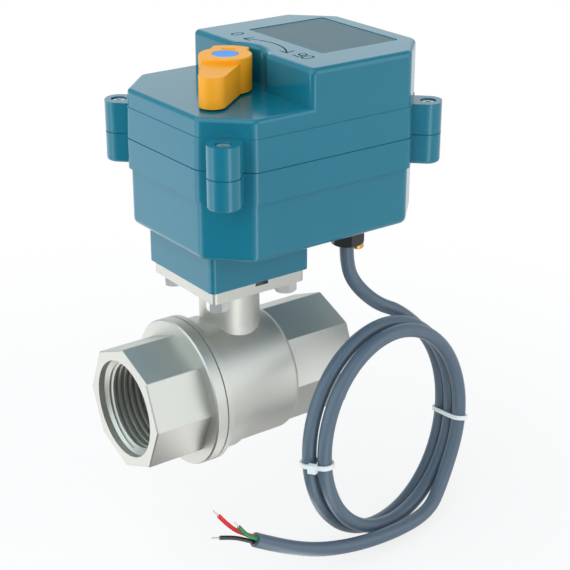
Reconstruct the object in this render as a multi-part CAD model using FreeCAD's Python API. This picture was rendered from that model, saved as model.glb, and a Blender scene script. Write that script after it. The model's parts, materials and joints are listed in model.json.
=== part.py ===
"""Motorized ball valve: a two-piece DN25 ball valve turned by a small geared electric actuator."""
import FreeCAD, Part
import math
import os
from FreeCAD import Vector

# Every size is in millimetres. The working axes meet where the stem crosses the pipe: X runs along the pipe
# from inlet to outlet and Z runs up the stem. Saving moves everything so that the start of the inlet thread is
# the origin.

# Running and resting clearances
running_gap = 0.05
resting_gap = 0.02
open_gap = 0.4
screw_hole_gap = 0.15
pilot_floor = 0.6
screw_tip_gap = 0.6

# Valve lengths along the pipe, measured from the stem
inlet_length = 44.0
outlet_length = 40.4
joint_from_stem = 18.2
collar_width = 4.7
collar_chamfer = 0.5
flange_width = 2.0
band_width = 8.2
barrel_end_from_stem = 14.5

# Valve widths and radii
octagon_width = 41.0
octagon_chamfer = 0.4
octagon_rounding = 0.8
collar_radius = 26.2
band_radius = 23.9
barrel_radius = 23.0
barrel_rounding = 2.4
flow_radius = 12.5
ball_radius = 19.0

# Pipe thread, one inch parallel
thread_pitch = 25.4 / 11
thread_major_radius = 33.249 / 2
thread_minor_radius = 30.291 / 2
thread_turns = 6
thread_length = 17.0
thread_from_mouth = 4.3
mouth_recess_radius = 17.2
thread_root_half = 0.08
thread_flank_angle = 24.0
groove_overlap = 0.2
groove_start_share = 0.45

# Seats and body seal
seat_outer_radius = 18.0
seat_inner_radius = 12.7
seat_face_from_stem = 10.6
seat_back_from_stem = 15.6
spigot_radius = 21.0
seal_width = 1.5
seal_thickness = 1.5

# Neck, stem and mounting plate
neck_radius = 10.6
neck_foot_width = 2.7
neck_foot_height = 3.0
plate_bottom = 38.6
plate_thickness = 4.5
plate_top = plate_bottom + plate_thickness
plate_width = 37.6
plate_corner = 1.6
notch_width = 5.2
notch_shift = 0.8
notch_depth = 1.8
notch_reach = 2.4
bolt_spacing = 28.0
bolt_radius = 2.0
bolt_head_width = 7.0
bolt_head_height = 4.0
bolt_head_crown = 0.5
bolt_length = 12.4
insert_radius = 2.9
insert_length = 9.0
insert_sink = 0.4
stem_radius = 5.0
stem_square = 7.0
stem_square_rise = 1.3
stem_square_length = 7.6
stem_square_bottom = plate_top + stem_square_rise
stem_top = stem_square_bottom + stem_square_length
tang_width = 5.9
tang_length = 11.0
tang_bottom = 14.7
shoulder_radius = 7.4
shoulder_bottom = 19.3
shoulder_top = 21.4
washer_thickness = 1.15
o_ring_section = 1.4
groove_half_share = 0.65
square_corner_cut = 0.15
ball_slot_depth = 0.2
stem_ring_heights = (27.0, 33.0)

# Actuator housing
body_left = -25.53
body_right = 63.96
body_front = -34.85
body_back = 34.85
body_chamfer = 13.4
body_corner = 3.8
pedestal_height = 13.76
tub_height = 20.44
rim_height = 10.56
skirt_height = 10.66
deck_rise = 6.31
block_rise = 12.67
base_bottom = plate_top + pedestal_height
ledge_height = base_bottom + tub_height
tub_inset = 0.65
seam_height = ledge_height + rim_height
seam_flare = 0.35
seam_groove_half = 0.18
seam_groove_depth = 0.4
step_height = seam_height + skirt_height
step_inset = 0.25
deck_height = step_height + deck_rise
block_top = deck_height + block_rise
block_wall_x = 9.58
block_corner = 2.2
edge_rounding = 1.1
deck_rounding = 1.4
block_rounding = 1.8
base_rounding = 2.4
wall = 2.5
floor_thickness = 2.7
floor_top = base_bottom + floor_thickness
pedestal_width = 40.0
pedestal_corner = 2.0

# Corner bosses and cover screws
boss_half_width = 5.48
boss_tip = 4.74
boss_corner = 4.7
boss_reach = 5.09
boss_drop = 10.37
boss_rounding = 1.0
boss_hole_floor = 1.2
cover_screw_radius = 1.5
cover_screw_head = 2.6
cover_screw_head_height = 2.4
cover_screw_recess = 2.75
cover_screw_sink = 0.5
cover_screw_length = 16.0
cover_screw_rounding = 0.6
recess_reach_share = 0.6
recess_half_share = 0.18
recess_depth_share = 0.7
gasket_inset = 1.1
gasket_width = 1.0
gasket_height = 1.0

# Lever, its place and shape
lever_rest_angle = 45.0
lever_gap = 0.7
lever_height = 11.59
lever_step = 1.5
hub_radius = 8.8
nose_reach = 21.61
nose_tip_radius = 4.4
nose_root_half = 6.85
lobe_reach = 11.74
lobe_half = 6.26
lobe_corner = 2.5
cove_gap = 1.9
lever_cap_radius = 4.45
lever_cap_thickness = 1.3
lever_mark_length = 4.5
lever_mark_width = 1.6
lever_mark_depth = 0.3
lever_mark_from_cap = 0.9
lever_rounding = 0.45
lever_cap_rounding = 0.3
lever_cap_sink = 0.03
lever_cap_gap = 0.3
lever_screw_head = 2.8
lever_screw_head_height = 1.4
lever_screw_radius = 1.25
lever_screw_length = 7.0
lever_web = 1.0
deck_boss_wall = 3.6
deck_boss_height = 4.4

# Dial marks on the raised block
dial_radius = 20.05
dial_half_angle = 38.0
dial_line = 0.6
dial_depth = 0.35
arrow_length = 3.6
digit_height = 4.2
digit_width = 2.6
digit_gap = 1.1
arrow_spread = 38.0
nought_shift = 2.6
ninety_shift = 1.9

# Name plate on the raised block
name_plate_length = 32.47
name_plate_width = 42.25
name_plate_depth = 1.0
name_plate_thickness = 0.8
name_plate_x = 40.88
name_plate_y = 1.18
name_plate_corner = 1.2

# Output shaft and its bearings
shaft_radius = 8.0
shaft_over_stem = 0.2
socket_depth = 8.4
bush_wall = 1.8
bush_over_plate = 3.9
bush_stand = 2.94
bush_bottom = plate_top + bush_over_plate
bush_top = floor_top + bush_stand
bush_flange = 1.2
shaft_seal_wall = 2.9
shaft_seal_height = 3.0
shaft_boss_radius = 13.0
shaft_mid_radius = 6.0
shaft_upper_radius = 5.0
shaft_top_radius = 4.0
shaft_flat = 0.8
shaft_end_width = 0.9
shaft_neck_radius = 3.0
shaft_neck_flat = 2.2
neck_ring_section = 0.75
shaft_step_gap = 0.1
shaft_collar_height = 0.4
clip_groove_depth = 0.6
clip_groove_width = 0.9
clip_thickness = 0.8
clip_width = 2.75
clip_mouth = 2.4
bush_flange_reach = 1.6
plate_bush_wall = 1.4
plate_bush_flange = 0.8

# Gear frame
plate_gauge = 1.6
frame_stand = 4.44
frame_height = 14.0
lower_plate_bottom = floor_top + frame_stand
upper_plate_bottom = lower_plate_bottom + frame_height
frame_left = -14.8
frame_right = 32.0
upper_frame_right = 58.6
frame_half = 26.0
frame_cut = 9.0
lower_frame_cut = 14.0
upper_frame_cut = 8.0
frame_corner = 0.4
left_post = (-11.0, 12.5)
right_post = (17.0, 22.5)
post_radius = 3.2
spacer_radius = 3.0
frame_screw_radius = 1.3
frame_screw_head = 2.6
frame_screw_head_height = 1.8
frame_screw_rounding = 0.5

# Gears
pressure_angle = 20.0
backlash_share = 0.16
tip_share = 0.85
root_share = 1.15
root_width_share = 0.8
sector_module = 1.0
sector_teeth = 40
sector_pinion_teeth = 12
sector_first_angle = -20.0
sector_last_angle = 112.0
sector_rise = 1.0
sector_bottom = lower_plate_bottom + plate_gauge + sector_rise
sector_width = 6.0
sector_hub_wall = 3.4
sector_hole_place = 0.68
sector_hole_share = 0.11
wheel_module = 0.8
wheel_teeth = 36
wheel_pinion_teeth = 12
wheel_width = 3.0
wheel_rise = 1.0
pinion_overhang = 0.4
wheel_rim = 3.2
wheel_hub_rim = 2.4
wheel_recess = 1.0
wheel_hub_wall = 2.0
axle_radius = 2.0

# Motor
motor_radius = 12.0
motor_length = 19.0
gearbox_radius = 12.5
gearbox_length = 12.4
motor_shaft_radius = 1.5
motor_boss_radius = 6.0
motor_screw_spacing = 18.6
motor_screw_radius = 1.2
motor_screw_head = 2.2
motor_screw_head_height = 1.5
motor_screw_depth = 4.2
motor_rounding = 1.2
motor_bell_radius = 3.2
motor_bell_height = 1.6
motor_tag_place = 7.5
motor_tag_size = (0.6, 2.8, 2.6)
gearbox_rounding = 0.8
motor_boss_step = 0.2
motor_shaft_end_gap = 2.4
motor_shaft_overhang = 0.8

# Cam and limit switches
cam_rise = 1.6
cam_bottom = upper_plate_bottom + plate_gauge + cam_rise
cam_width = 3.4
cam_radius = 5.9
cam_lobe_radius = 8.0
cam_lobe_angle = 36.0
switch_length = 12.8
switch_depth = 6.5
switch_height = 6.4
switch_gap = 2.5
switch_chamfer = 0.3
switch_tag_inset = 1.6
switch_tag_size = (0.8, 2.2, 0.6)
switch_tag_height = 2.6
switch_hole_radius = 0.9
switch_hole_inset = 1.9
button_radius = 0.9
button_inside = 1.4
button_travel = 0.5
button_clearance = 0.12

# Circuit board
board_left = 33.0
board_right = 58.5
board_front = -11.5
board_back = 20.0
board_gauge = 1.6
board_stand = 2.64
board_height = floor_top + board_stand
board_post_radius = 3.0
board_post_places = ((36.6, 16.4), (54.9, 2.0))
terminal_x = 39.9
terminal_pitch = 3.6
terminal_margin = 2.4
terminal_size = (6.4, 7.6)
terminal_screw_radius = 1.3
terminal_screw_depth = 2.4
terminal_screw_from_front = 3.6
relay_size = (12.0, 10.4, 9.6)
relay_place = (11.0, 20.0)
capacitor_radius = 3.6
capacitor_height = 9.0
capacitor_place = (21.0, 5.0)
capacitor_rounding = 0.5
chip_size = (4.0, 5.0, 1.6)
chip_place = (5.0, 15.5)
board_edge = 0.6

# Cable gland, vent screw and cable
gland_x = 35.4
gland_y = -20.93
gland_turn = 7.5
gland_drop = 7.73
gland_nut_bottom = base_bottom - gland_drop
gland_nut_width = 10.76
gland_dome = 1.3
gland_collar_width = 11.74
gland_collar_height = 2.6
gland_thread_radius = 4.6
gland_length_inside = 4.2
gland_nut_gap = 0.1
gland_bore_gap = 0.3
gland_nut_bore_gap = 0.15
gland_dome_extra = 0.7
lock_nut_width = 10.2
lock_nut_height = 3.0
gland_seal_height = 2.6
cable_radius = 2.5
earth_screw_x = 43.61
earth_screw_y = -16.72
earth_screw_radius = 2.3
earth_screw_reach = 12.62
earth_nut_width = 6.6
earth_nut_turn = 57.0
earth_nut_height = 3.2
earth_screw_chamfer = 0.5

# Cable coil and the bends of its free ends, which are set out from the coil's middle
coil_middle = Vector(36.3, -37.8, -14.0)
coil_bearing = 10.4
coil_lean = -6.0
coil_radius = 38.34
coil_shrink = 1.76
coil_pitch = 5.38
coil_start_angle = 46.1
coil_quarters = 9
coil_quarter = 89.0
lead_first_run = 7.92
lead_last_run = 7.24
tail_first_run = 8.8
lead_bends = ((1.4, 14.6, 47.6), (7.4, 9.5, 40.5))
tail_bends = ((13.8, -14.6, -35.3), (-3.3, -17.8, -34.9), (-21.3, -18.2, -33.5), (-38.0, -17.6, -29.8),
              (-52.0, -16.5, -23.7), (-63.4, -15.7, -16.8))

# Cable ties
tie_width = 1.5
tie_thickness = 0.7
tie_head = 3.0
tie_head_height = 2.0
tie_angles = (-179.5, -373.0)
tie_gap = 0.12
tie_head_sink = 0.2

# Wires
wire_radius = 0.72
core_radius = 0.28
core_length = 3.1
core_overlap = 0.5
sheath_rise = 0.6
inner_wire_pitch = 1.75
inner_wire_bend = 3.0
inner_wire_height = 4.4

Z = Vector(0, 0, 1)
X = Vector(1, 0, 0)
Y = Vector(0, 1, 0)
ORIGIN = Vector(0, 0, 0)


def cylinder(radius, start, end, x=0.0, y=0.0):
    """An upright cylinder between two heights."""
    return Part.makeCylinder(radius, end - start, Vector(x, y, start), Z)


def tube(outer, inner, start, end, x=0.0, y=0.0):
    """An upright ring between two heights."""
    return cylinder(outer, start, end, x, y).cut(cylinder(inner, start - 1, end + 1, x, y))


def bar(radius, start, end):
    """A round bar along the pipe axis."""
    return Part.makeCylinder(radius, end - start, Vector(start, 0, 0), X)


def box(x0, x1, y0, y1, z0, z1):
    return Part.makeBox(x1 - x0, y1 - y0, z1 - z0, Vector(x0, y0, z0))


def prism(points, start, end):
    """An upright prism over a list of corner points."""
    corners = [Vector(x, y, start) for x, y in points]
    outline = Part.makePolygon(corners + corners[:1])
    return Part.Face(outline).extrude(Vector(0, 0, end - start))


def polygon_points(sides, width, turn=0.0, x=0.0, y=0.0):
    """Corners of a regular polygon of the given width across its flats."""
    radius = width / 2 / math.cos(math.pi / sides)
    angles = [math.radians(turn) + 2 * math.pi * i / sides for i in range(sides)]
    return [(x + radius * math.cos(a), y + radius * math.sin(a)) for a in angles]


def hexagon(width, start, end, x=0.0, y=0.0, turn=0.0):
    return prism(polygon_points(6, width, turn, x, y), start, end)


def round_upright_edges(shape, radius, wanted=None):
    """Round the straight upright edges, all of them or those that wanted picks by place."""
    picked = []
    for edge in shape.Edges:
        a, b = edge.Vertexes[0].Point, edge.Vertexes[-1].Point
        upright = abs(a.x - b.x) < 1e-6 and abs(a.y - b.y) < 1e-6 and abs(a.z - b.z) > 1e-6
        if upright and (wanted is None or wanted(a)):
            picked.append(edge)
    return shape.makeFillet(radius, picked)


def round_level_edges(shape, radius, height, wanted=None):
    """Round every edge that lies at one height."""
    picked = []
    for edge in shape.Edges:
        bounds = edge.BoundBox
        level = abs(bounds.ZMin - height) < 1e-4 and abs(bounds.ZMax - height) < 1e-4
        if level and (wanted is None or wanted(edge.CenterOfMass)):
            picked.append(edge)
    return shape.makeFillet(radius, picked)


def joined(shapes):
    """Fuse solids that make one piece."""
    whole = shapes[0]
    for shape in shapes[1:]:
        whole = whole.fuse(shape)
    return whole.removeSplitter()


def group(shapes):
    """Several separate solids of one kind in one file."""
    return Part.makeCompound([solid for shape in shapes for solid in shape.Solids])


def save(name, shape):
    """Write one piece with the start of the inlet thread as the origin."""
    moved = shape.copy()
    moved.translate(Vector(inlet_length - thread_from_mouth, 0, 0))
    if not moved.isValid():
        print("not valid:", name)
    moved.exportStep(f"parts/{name}.step")
    print(f"{name}: {len(moved.Solids)} solid(s), {moved.Volume:.1f} mm3")


# Valve

def octagon_bar(start, end, open_end):
    """An eight-sided bar along the pipe, with soft edges and a fine chamfer round its open end."""
    corner_radius = octagon_width / 2 / math.cos(math.pi / 8)
    turns = [math.pi / 4 * i for i in range(8)]
    corners = [Vector(start, corner_radius * math.cos(a), corner_radius * math.sin(a)) for a in turns]
    block = Part.Face(Part.makePolygon(corners + corners[:1])).extrude(Vector(end - start, 0, 0))
    long_edges = [edge for edge in block.Edges if edge.BoundBox.XLength > (end - start) / 2]
    block = block.makeFillet(octagon_rounding, long_edges)
    rim = [edge for edge in block.Edges if abs(edge.BoundBox.XMin - open_end) < 1e-4
           and abs(edge.BoundBox.XMax - open_end) < 1e-4]
    return block.makeChamfer(octagon_chamfer, rim)


def thread_tool(mouth, inward):
    """What a threaded port takes away: mouth recess, minor bore and the helical groove. inward is 1 or -1."""
    lead_length = mouth_recess_radius - thread_minor_radius
    recess_end = thread_from_mouth - lead_length
    depth = thread_major_radius - thread_minor_radius
    core = Part.makeCylinder(thread_minor_radius, thread_from_mouth + thread_length, ORIGIN, Z)
    recess = Part.makeCylinder(mouth_recess_radius, recess_end, ORIGIN, Z)
    lead_in = Part.makeCone(mouth_recess_radius, thread_minor_radius, lead_length, Vector(0, 0, recess_end), Z)
    helix = Part.makeHelix(thread_pitch, thread_turns * thread_pitch, thread_minor_radius)
    slope = math.tan(math.radians(thread_flank_angle))
    inner = thread_minor_radius - groove_overlap
    half_inner = thread_root_half + (depth + groove_overlap) * slope
    tooth = [Vector(inner, 0, -half_inner), Vector(thread_major_radius, 0, -thread_root_half),
             Vector(thread_major_radius, 0, thread_root_half), Vector(inner, 0, half_inner)]
    outline = Part.makePolygon(tooth + tooth[:1])
    groove = Part.Wire(helix).makePipeShell([outline], True, True)
    groove.translate(Vector(0, 0, recess_end + thread_pitch * groove_start_share))
    tool = core.fuse(recess).fuse(lead_in).fuse(groove)
    tool.rotate(ORIGIN, Y, 90 * inward)
    tool.translate(Vector(mouth, 0, 0))
    return tool


def make_valve_body():
    """Cast body: outlet octagon, barrel, joint flange, neck and mounting plate in one piece."""
    joint = -joint_from_stem
    flange_end = joint + flange_width
    band_end = flange_end + band_width
    port = octagon_bar(barrel_end_from_stem - barrel_rounding, outlet_length, outlet_length)
    barrel = bar(barrel_radius, band_end, barrel_end_from_stem)
    far_rim = [edge for edge in barrel.Edges if abs(edge.BoundBox.XMin - barrel_end_from_stem) < 1e-4
               and abs(edge.BoundBox.XMax - barrel_end_from_stem) < 1e-4]
    barrel = barrel.makeFillet(barrel_rounding, far_rim)
    band = bar(band_radius, flange_end, band_end)
    flange = bar(collar_radius, joint, flange_end)
    neck = cylinder(neck_radius, 0, plate_bottom)
    foot_height = math.sqrt(barrel_radius ** 2 - neck_radius ** 2)
    foot = Part.makeCone(neck_radius + neck_foot_width, neck_radius, foot_height + neck_foot_height, ORIGIN, Z)
    half = plate_width / 2
    plate = box(-half, half, -half, half, plate_bottom, plate_top)
    plate = round_upright_edges(plate, plate_corner)
    for turn in (0, 180):
        notch = box(notch_shift - notch_width / 2, notch_shift + notch_width / 2,
                    -half - 1, -half + notch_reach, plate_top - notch_depth, plate_top + 1)
        notch.rotate(ORIGIN, Z, turn)
        plate = plate.cut(notch)
    body = joined([port, barrel, band, flange, neck, foot, plate])
    body = body.cut(bar(spigot_radius + running_gap, joint - 1, -seat_face_from_stem + resting_gap))
    body = body.cut(bar(spigot_radius + running_gap + seal_width, joint - 1, joint + seal_thickness))
    body = body.cut(bar(ball_radius + open_gap, joint - 1, seat_face_from_stem - ball_slot_depth))
    body = body.cut(bar(seat_outer_radius + resting_gap, 0, seat_back_from_stem))
    body = body.cut(bar(flow_radius, 0, outlet_length - 1))
    body = body.cut(thread_tool(outlet_length, -1))
    body = body.cut(cylinder(stem_radius + running_gap, 0, plate_top + 1))
    pocket_top = shoulder_top + washer_thickness
    body = body.cut(cylinder(shoulder_radius + running_gap * 2, 0, pocket_top))
    for x, y in bolt_places():
        body = body.cut(cylinder(bolt_radius + screw_hole_gap, plate_bottom - 1, plate_top + 1, x, y))
    return body


def make_inlet_connector():
    """Octagon end connector with its collar, screwed into the body to hold the ball and seats."""
    collar_front = -joint_from_stem - collar_width
    port = octagon_bar(-inlet_length, collar_front + 1, -inlet_length)
    collar = bar(collar_radius, collar_front, -joint_from_stem)
    spigot = bar(spigot_radius, collar_front, -seat_face_from_stem)
    connector = joined([port, collar, spigot])
    rims = [edge for edge in connector.Edges if abs(edge.BoundBox.YMax - collar_radius) < 1e-3
            and abs(edge.BoundBox.XMax - edge.BoundBox.XMin) < 1e-4]
    connector = connector.makeChamfer(collar_chamfer, rims)
    connector = connector.cut(bar(flow_radius, -inlet_length + 1, 0))
    connector = connector.cut(bar(seat_outer_radius + resting_gap, -seat_back_from_stem, 0))
    return connector.cut(thread_tool(-inlet_length, 1))


def make_ball():
    """Full-bore ball with a slot across its top for the stem's tang."""
    ball = Part.makeSphere(ball_radius)
    ball = ball.cut(bar(flow_radius, -ball_radius - 1, ball_radius + 1))
    half_slot = tang_width / 2 + running_gap
    return ball.cut(box(-half_slot, half_slot, -ball_radius, ball_radius, tang_bottom - ball_slot_depth,
                        ball_radius + 1))


def make_seat(side):
    """PTFE seat ring that the ball bears on. side is -1 for the inlet and 1 for the outlet."""
    ring = bar(seat_outer_radius, seat_face_from_stem, seat_back_from_stem)
    ring = ring.cut(bar(seat_inner_radius, 0, seat_back_from_stem + 1))
    ring = ring.cut(Part.makeSphere(ball_radius + running_gap))
    if side < 0:
        ring.rotate(ORIGIN, Z, 180)
    return ring


def make_body_seal():
    joint = -joint_from_stem
    outer = bar(spigot_radius + running_gap + seal_width - resting_gap, joint, joint + seal_thickness)
    return outer.cut(bar(spigot_radius + resting_gap, joint - 1, joint + seal_thickness + 1))


def make_stem():
    """Stem put in from inside: tang, blow-out-proof shoulder, two seal grooves and a square drive."""
    half_tang, half_length = tang_width / 2, tang_length / 2
    tang = box(-half_tang, half_tang, -half_length, half_length, tang_bottom, shoulder_bottom)
    tang = tang.common(cylinder(half_length, tang_bottom - 1, shoulder_bottom + 1))
    shoulder = cylinder(shoulder_radius, shoulder_bottom, shoulder_top)
    shaft = cylinder(stem_radius, shoulder_top, stem_square_bottom)
    square = prism(polygon_points(4, stem_square, 45), stem_square_bottom, stem_top)
    square = square.common(cylinder(stem_radius - square_corner_cut, stem_square_bottom - 1, stem_top + 1))
    stem = joined([tang, shoulder, shaft, square])
    half_groove = o_ring_section * groove_half_share
    for height in stem_ring_heights:
        stem = stem.cut(tube(stem_radius + 1, stem_radius - o_ring_section, height - half_groove,
                             height + half_groove))
    return stem


def o_ring(outer, section, height):
    """Seal ring that reaches out to a given radius."""
    return Part.makeTorus(outer - section / 2, section / 2, Vector(0, 0, height), Z)


def make_thrust_washer():
    return tube(shoulder_radius, stem_radius + running_gap, shoulder_top, shoulder_top + washer_thickness)


def bolt_places():
    half = bolt_spacing / 2
    return [(-half, -half), (half, -half), (half, half), (-half, half)]


def make_mounting_bolt(x, y):
    """Hexagon bolt put up through the valve's plate into the actuator."""
    head = hexagon(bolt_head_width, plate_bottom - bolt_head_height, plate_bottom, x, y, 15)
    corner = bolt_head_width / 2 / math.cos(math.pi / 6)
    low = plate_bottom - bolt_head_height
    crown = Part.makeCone(corner - bolt_head_crown, corner + bolt_head_crown, 2 * bolt_head_crown,
                          Vector(x, y, low), Z)
    crown = crown.fuse(cylinder(corner + bolt_head_crown, low + 2 * bolt_head_crown, plate_bottom, x, y))
    shank = cylinder(bolt_radius, plate_bottom, plate_bottom + bolt_length, x, y)
    return joined([head.common(crown), shank])


def make_insert(x, y):
    start = plate_top + insert_sink
    return tube(insert_radius, bolt_radius + resting_gap, start, start + insert_length, x, y)


# Housing

def body_outline(inset=0.0):
    """Corner points of the housing, a rectangle with cut corners, drawn in by an inset."""
    left, right = body_left + inset, body_right - inset
    front, back = body_front + inset, body_back - inset
    cut = body_chamfer - inset * (2 - math.sqrt(2))
    return [(left, back - cut), (left, front + cut), (left + cut, front), (right - cut, front),
            (right, front + cut), (right, back - cut), (right - cut, back), (left + cut, back)]


def housing_block(start, end, low_inset, high_inset):
    """Solid of the housing's outline between two heights, drawn in by an inset at each."""
    rings = []
    for height, inset in ((start, low_inset), (end, high_inset)):
        corners = [Vector(x, y, height) for x, y in body_outline(inset)]
        rings.append(Part.makePolygon(corners + corners[:1]))
    block = Part.makeLoft(rings, True, True)
    steep = [edge for edge in block.Edges if edge.BoundBox.ZLength > (end - start) / 2]
    return block.makeFillet(body_corner, steep)


def boss_places():
    """Middle of each corner boss with the direction it points."""
    half = body_chamfer / 2
    slant = boss_reach * math.sqrt(0.5)
    places = []
    for x, sx in ((body_left + half, -1), (body_right - half, 1)):
        for y, sy in ((body_front + half, -1), (body_back - half, 1)):
            places.append((x + sx * slant, y + sy * slant, math.degrees(math.atan2(sy, sx))))
    return places


def corner_boss(x, y, direction, start, end, rounded=False, shrink=0.0):
    """A lug with round corners that stands out from the cut corner of the housing round the screw."""
    tip, half = boss_tip - shrink, boss_half_width - shrink
    lug = box(-boss_reach - wall / 2, tip, -half, half, start, end)
    lug = round_upright_edges(lug, boss_corner - shrink, lambda p: p.x > tip - 0.1)
    if rounded:
        lug = round_level_edges(lug, boss_rounding, start)
    lug.rotate(ORIGIN, Z, direction)
    lug.translate(Vector(x, y, 0))
    return lug


def seam_groove(start, end):
    """What a shell loses round its outside at the seam: everything beyond a slightly smaller outline."""
    inset = seam_groove_depth - seam_flare
    core = housing_block(start, end, inset, inset)
    for x, y, direction in boss_places():
        core = core.fuse(corner_boss(x, y, direction, start, end, False, seam_groove_depth))
    far = body_right - body_left
    return box(body_left - far, body_right + far, body_front - far, body_back + far, start, end).cut(core)


def frame_posts():
    return [(x, side * y) for x, y in (left_post, right_post) for side in (-1, 1)]


def make_actuator_base():
    """Lower shell: pedestal, tub with a ledge, four lugs, and bosses for the gears and the board."""
    tub = housing_block(base_bottom, ledge_height, tub_inset, tub_inset)
    tub = round_level_edges(tub, base_rounding, base_bottom)
    rim = housing_block(ledge_height, seam_height, -seam_flare, -seam_flare)
    half = pedestal_width / 2
    pedestal = round_upright_edges(box(-half, half, -half, half, plate_top, base_bottom + 4), pedestal_corner)
    lugs = [corner_boss(x, y, d, seam_height - boss_drop, seam_height, True) for x, y, d in boss_places()]
    base = joined([tub, rim, pedestal] + lugs)
    floor = floor_top
    cavity = prism(body_outline(wall + tub_inset), floor, seam_height + 1)
    base = base.cut(cavity)
    inside = [cylinder(shaft_boss_radius, floor - 1, bush_top)]
    inside += [cylinder(post_radius, floor - 1, lower_plate_bottom, x, y) for x, y in frame_posts()]
    inside += [cylinder(board_post_radius, floor - 1, board_height, x, y) for x, y in board_post_places]
    base = joined([base] + inside)
    base = base.cut(gasket_ring(seam_height - gasket_height, seam_height + 1, 0.0))
    base = base.cut(seam_groove(seam_height - seam_groove_half, seam_height))
    bush_hole = shaft_radius + bush_wall + running_gap
    base = base.cut(cylinder(bush_hole, plate_top - 1, bush_top + 1))
    seal_hole = shaft_radius + running_gap + shaft_seal_wall
    base = base.cut(cylinder(seal_hole, plate_top - 1, bush_bottom - resting_gap))
    for x, y in bolt_places():
        top = plate_top + 2 * insert_sink + insert_length
        base = base.cut(cylinder(insert_radius + resting_gap, plate_top - 1, top, x, y))
    posts = [(x, y, lower_plate_bottom) for x, y in frame_posts()]
    posts += [(x, y, board_height) for x, y in board_post_places]
    for x, y, top in posts:
        base = base.cut(cylinder(frame_screw_radius + resting_gap, floor + pilot_floor, top + 1, x, y))
    for x, y, _ in boss_places():
        hole_end = seam_height - boss_drop + boss_hole_floor
        base = base.cut(cylinder(cover_screw_radius + resting_gap, hole_end, seam_height + 1, x, y))
    base = base.cut(cylinder(gland_thread_radius + running_gap, base_bottom - 1, floor + 1, gland_x, gland_y))
    base = base.cut(cylinder(earth_screw_radius + running_gap, base_bottom - 1, floor + 1, earth_screw_x,
                             earth_screw_y))
    return base


def gasket_ring(start, end, shrink):
    """The ring between two outlines inside the rim, thinner by shrink on each side."""
    outer = prism(body_outline(gasket_inset + shrink), start, end)
    return outer.cut(prism(body_outline(gasket_inset + gasket_width - shrink), start - 1, end + 1))


def make_cover():
    """Upper shell: lugs, deck under the lever and the raised block over the motor."""
    skirt = housing_block(seam_height, step_height, -seam_flare, 0)
    deck = housing_block(step_height - 1, deck_height, step_inset, step_inset)
    deck = round_level_edges(deck, deck_rounding, deck_height)
    block = housing_block(step_height - 1, block_top, step_inset, step_inset)
    far = body_right + 10
    block = block.common(box(block_wall_x, far, body_front - 10, body_back + 10, 0, block_top + 10))
    block = block.cut(cylinder(lobe_reach + cove_gap, 0, block_top + 1))
    front, back = body_front + step_inset, body_back - step_inset
    block = round_upright_edges(block, block_corner, lambda p: p.x < block_wall_x + 0.1
                                and (p.y < front + 0.1 or p.y > back - 0.1))
    block = round_upright_edges(block, edge_rounding, lambda p: abs(p.x - block_wall_x) < 0.05
                                and front + 4 < p.y < back - 4)
    block = round_level_edges(block, block_rounding, block_top)
    lugs = [corner_boss(x, y, d, seam_height, step_height) for x, y, d in boss_places()]
    cover = joined([skirt, deck, block] + lugs)
    inset = wall + step_inset
    cover = cover.cut(prism(body_outline(inset), seam_height - 1, deck_height - wall))
    hollow = prism(body_outline(inset), seam_height - 1, block_top - wall)
    hollow = hollow.common(box(block_wall_x + wall, far, body_front, body_back, 0, block_top))
    hollow = hollow.cut(cylinder(lobe_reach + cove_gap + wall, 0, block_top + 1))
    cover = cover.cut(hollow)
    underside = deck_height - wall
    boss = cylinder(shaft_neck_radius + deck_boss_wall, underside - deck_boss_height, underside + wall / 2)
    cover = cover.fuse(boss)
    cover = cover.cut(cylinder(shaft_neck_radius + running_gap, 0, deck_height + 1))
    for x, y, _ in boss_places():
        cover = cover.cut(cylinder(cover_screw_radius + screw_hole_gap, seam_height - 1, step_height, x, y))
        cover = cover.cut(cylinder(cover_screw_recess, step_height - cover_screw_sink - cover_screw_head_height,
                                   step_height + 8, x, y))
    cover = cover.cut(seam_groove(seam_height, seam_height + seam_groove_half))
    plate = name_plate_block(name_plate_depth, 0.0, block_top + 1)
    return cover.cut(plate).cut(dial_marks())


def name_plate_block(depth, shrink, top):
    """The rounded rectangle of the name plate, from its depth up to a height."""
    half_x, half_y = name_plate_length / 2 - shrink, name_plate_width / 2 - shrink
    block = box(name_plate_x - half_x, name_plate_x + half_x, name_plate_y - half_y, name_plate_y + half_y,
                block_top - depth, top)
    return round_upright_edges(block, name_plate_corner - shrink)


def stroke(x0, y0, x1, y1):
    """A straight engraved line with round ends, in the top of the raised block."""
    length = math.hypot(x1 - x0, y1 - y0)
    half = dial_line / 2
    floor = block_top - dial_depth
    line = box(0, length, -half, half, floor, block_top + 1)
    line.rotate(ORIGIN, Z, math.degrees(math.atan2(y1 - y0, x1 - x0)))
    line.translate(Vector(x0, y0, 0))
    ends = [cylinder(half, floor, block_top + 1, x, y) for x, y in ((x0, y0), (x1, y1))]
    return line.fuse(ends)


def loop_stroke(x, y, height, width):
    """An engraved ring with straight sides, read from the outlet side: height along X and width along Y."""
    floor = block_top - dial_depth
    straight = (height - width) / 2

    def slab(radius, start):
        ends = [cylinder(radius, start, block_top + 1, x + s * straight, y) for s in (-1, 1)]
        if straight > 0.01:
            ends.append(box(x - straight, x + straight, y - radius, y + radius, start, block_top + 1))
        return joined(ends)

    outer = slab(width / 2 + dial_line / 2, floor)
    return outer.cut(slab(width / 2 - dial_line / 2, floor - 1))


def digit_nine(x, y):
    """A plain nine: a ring above and a straight back."""
    ring = loop_stroke(x + (digit_height - digit_width) / 2, y, digit_width, digit_width)
    back = stroke(x - digit_height / 2, y - digit_width / 2, x + (digit_height - digit_width) / 2,
                  y - digit_width / 2)
    foot = stroke(x - digit_height / 2, y - digit_width / 2, x - digit_height / 2, y + digit_width / 2)
    return [ring, back, foot]


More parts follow.
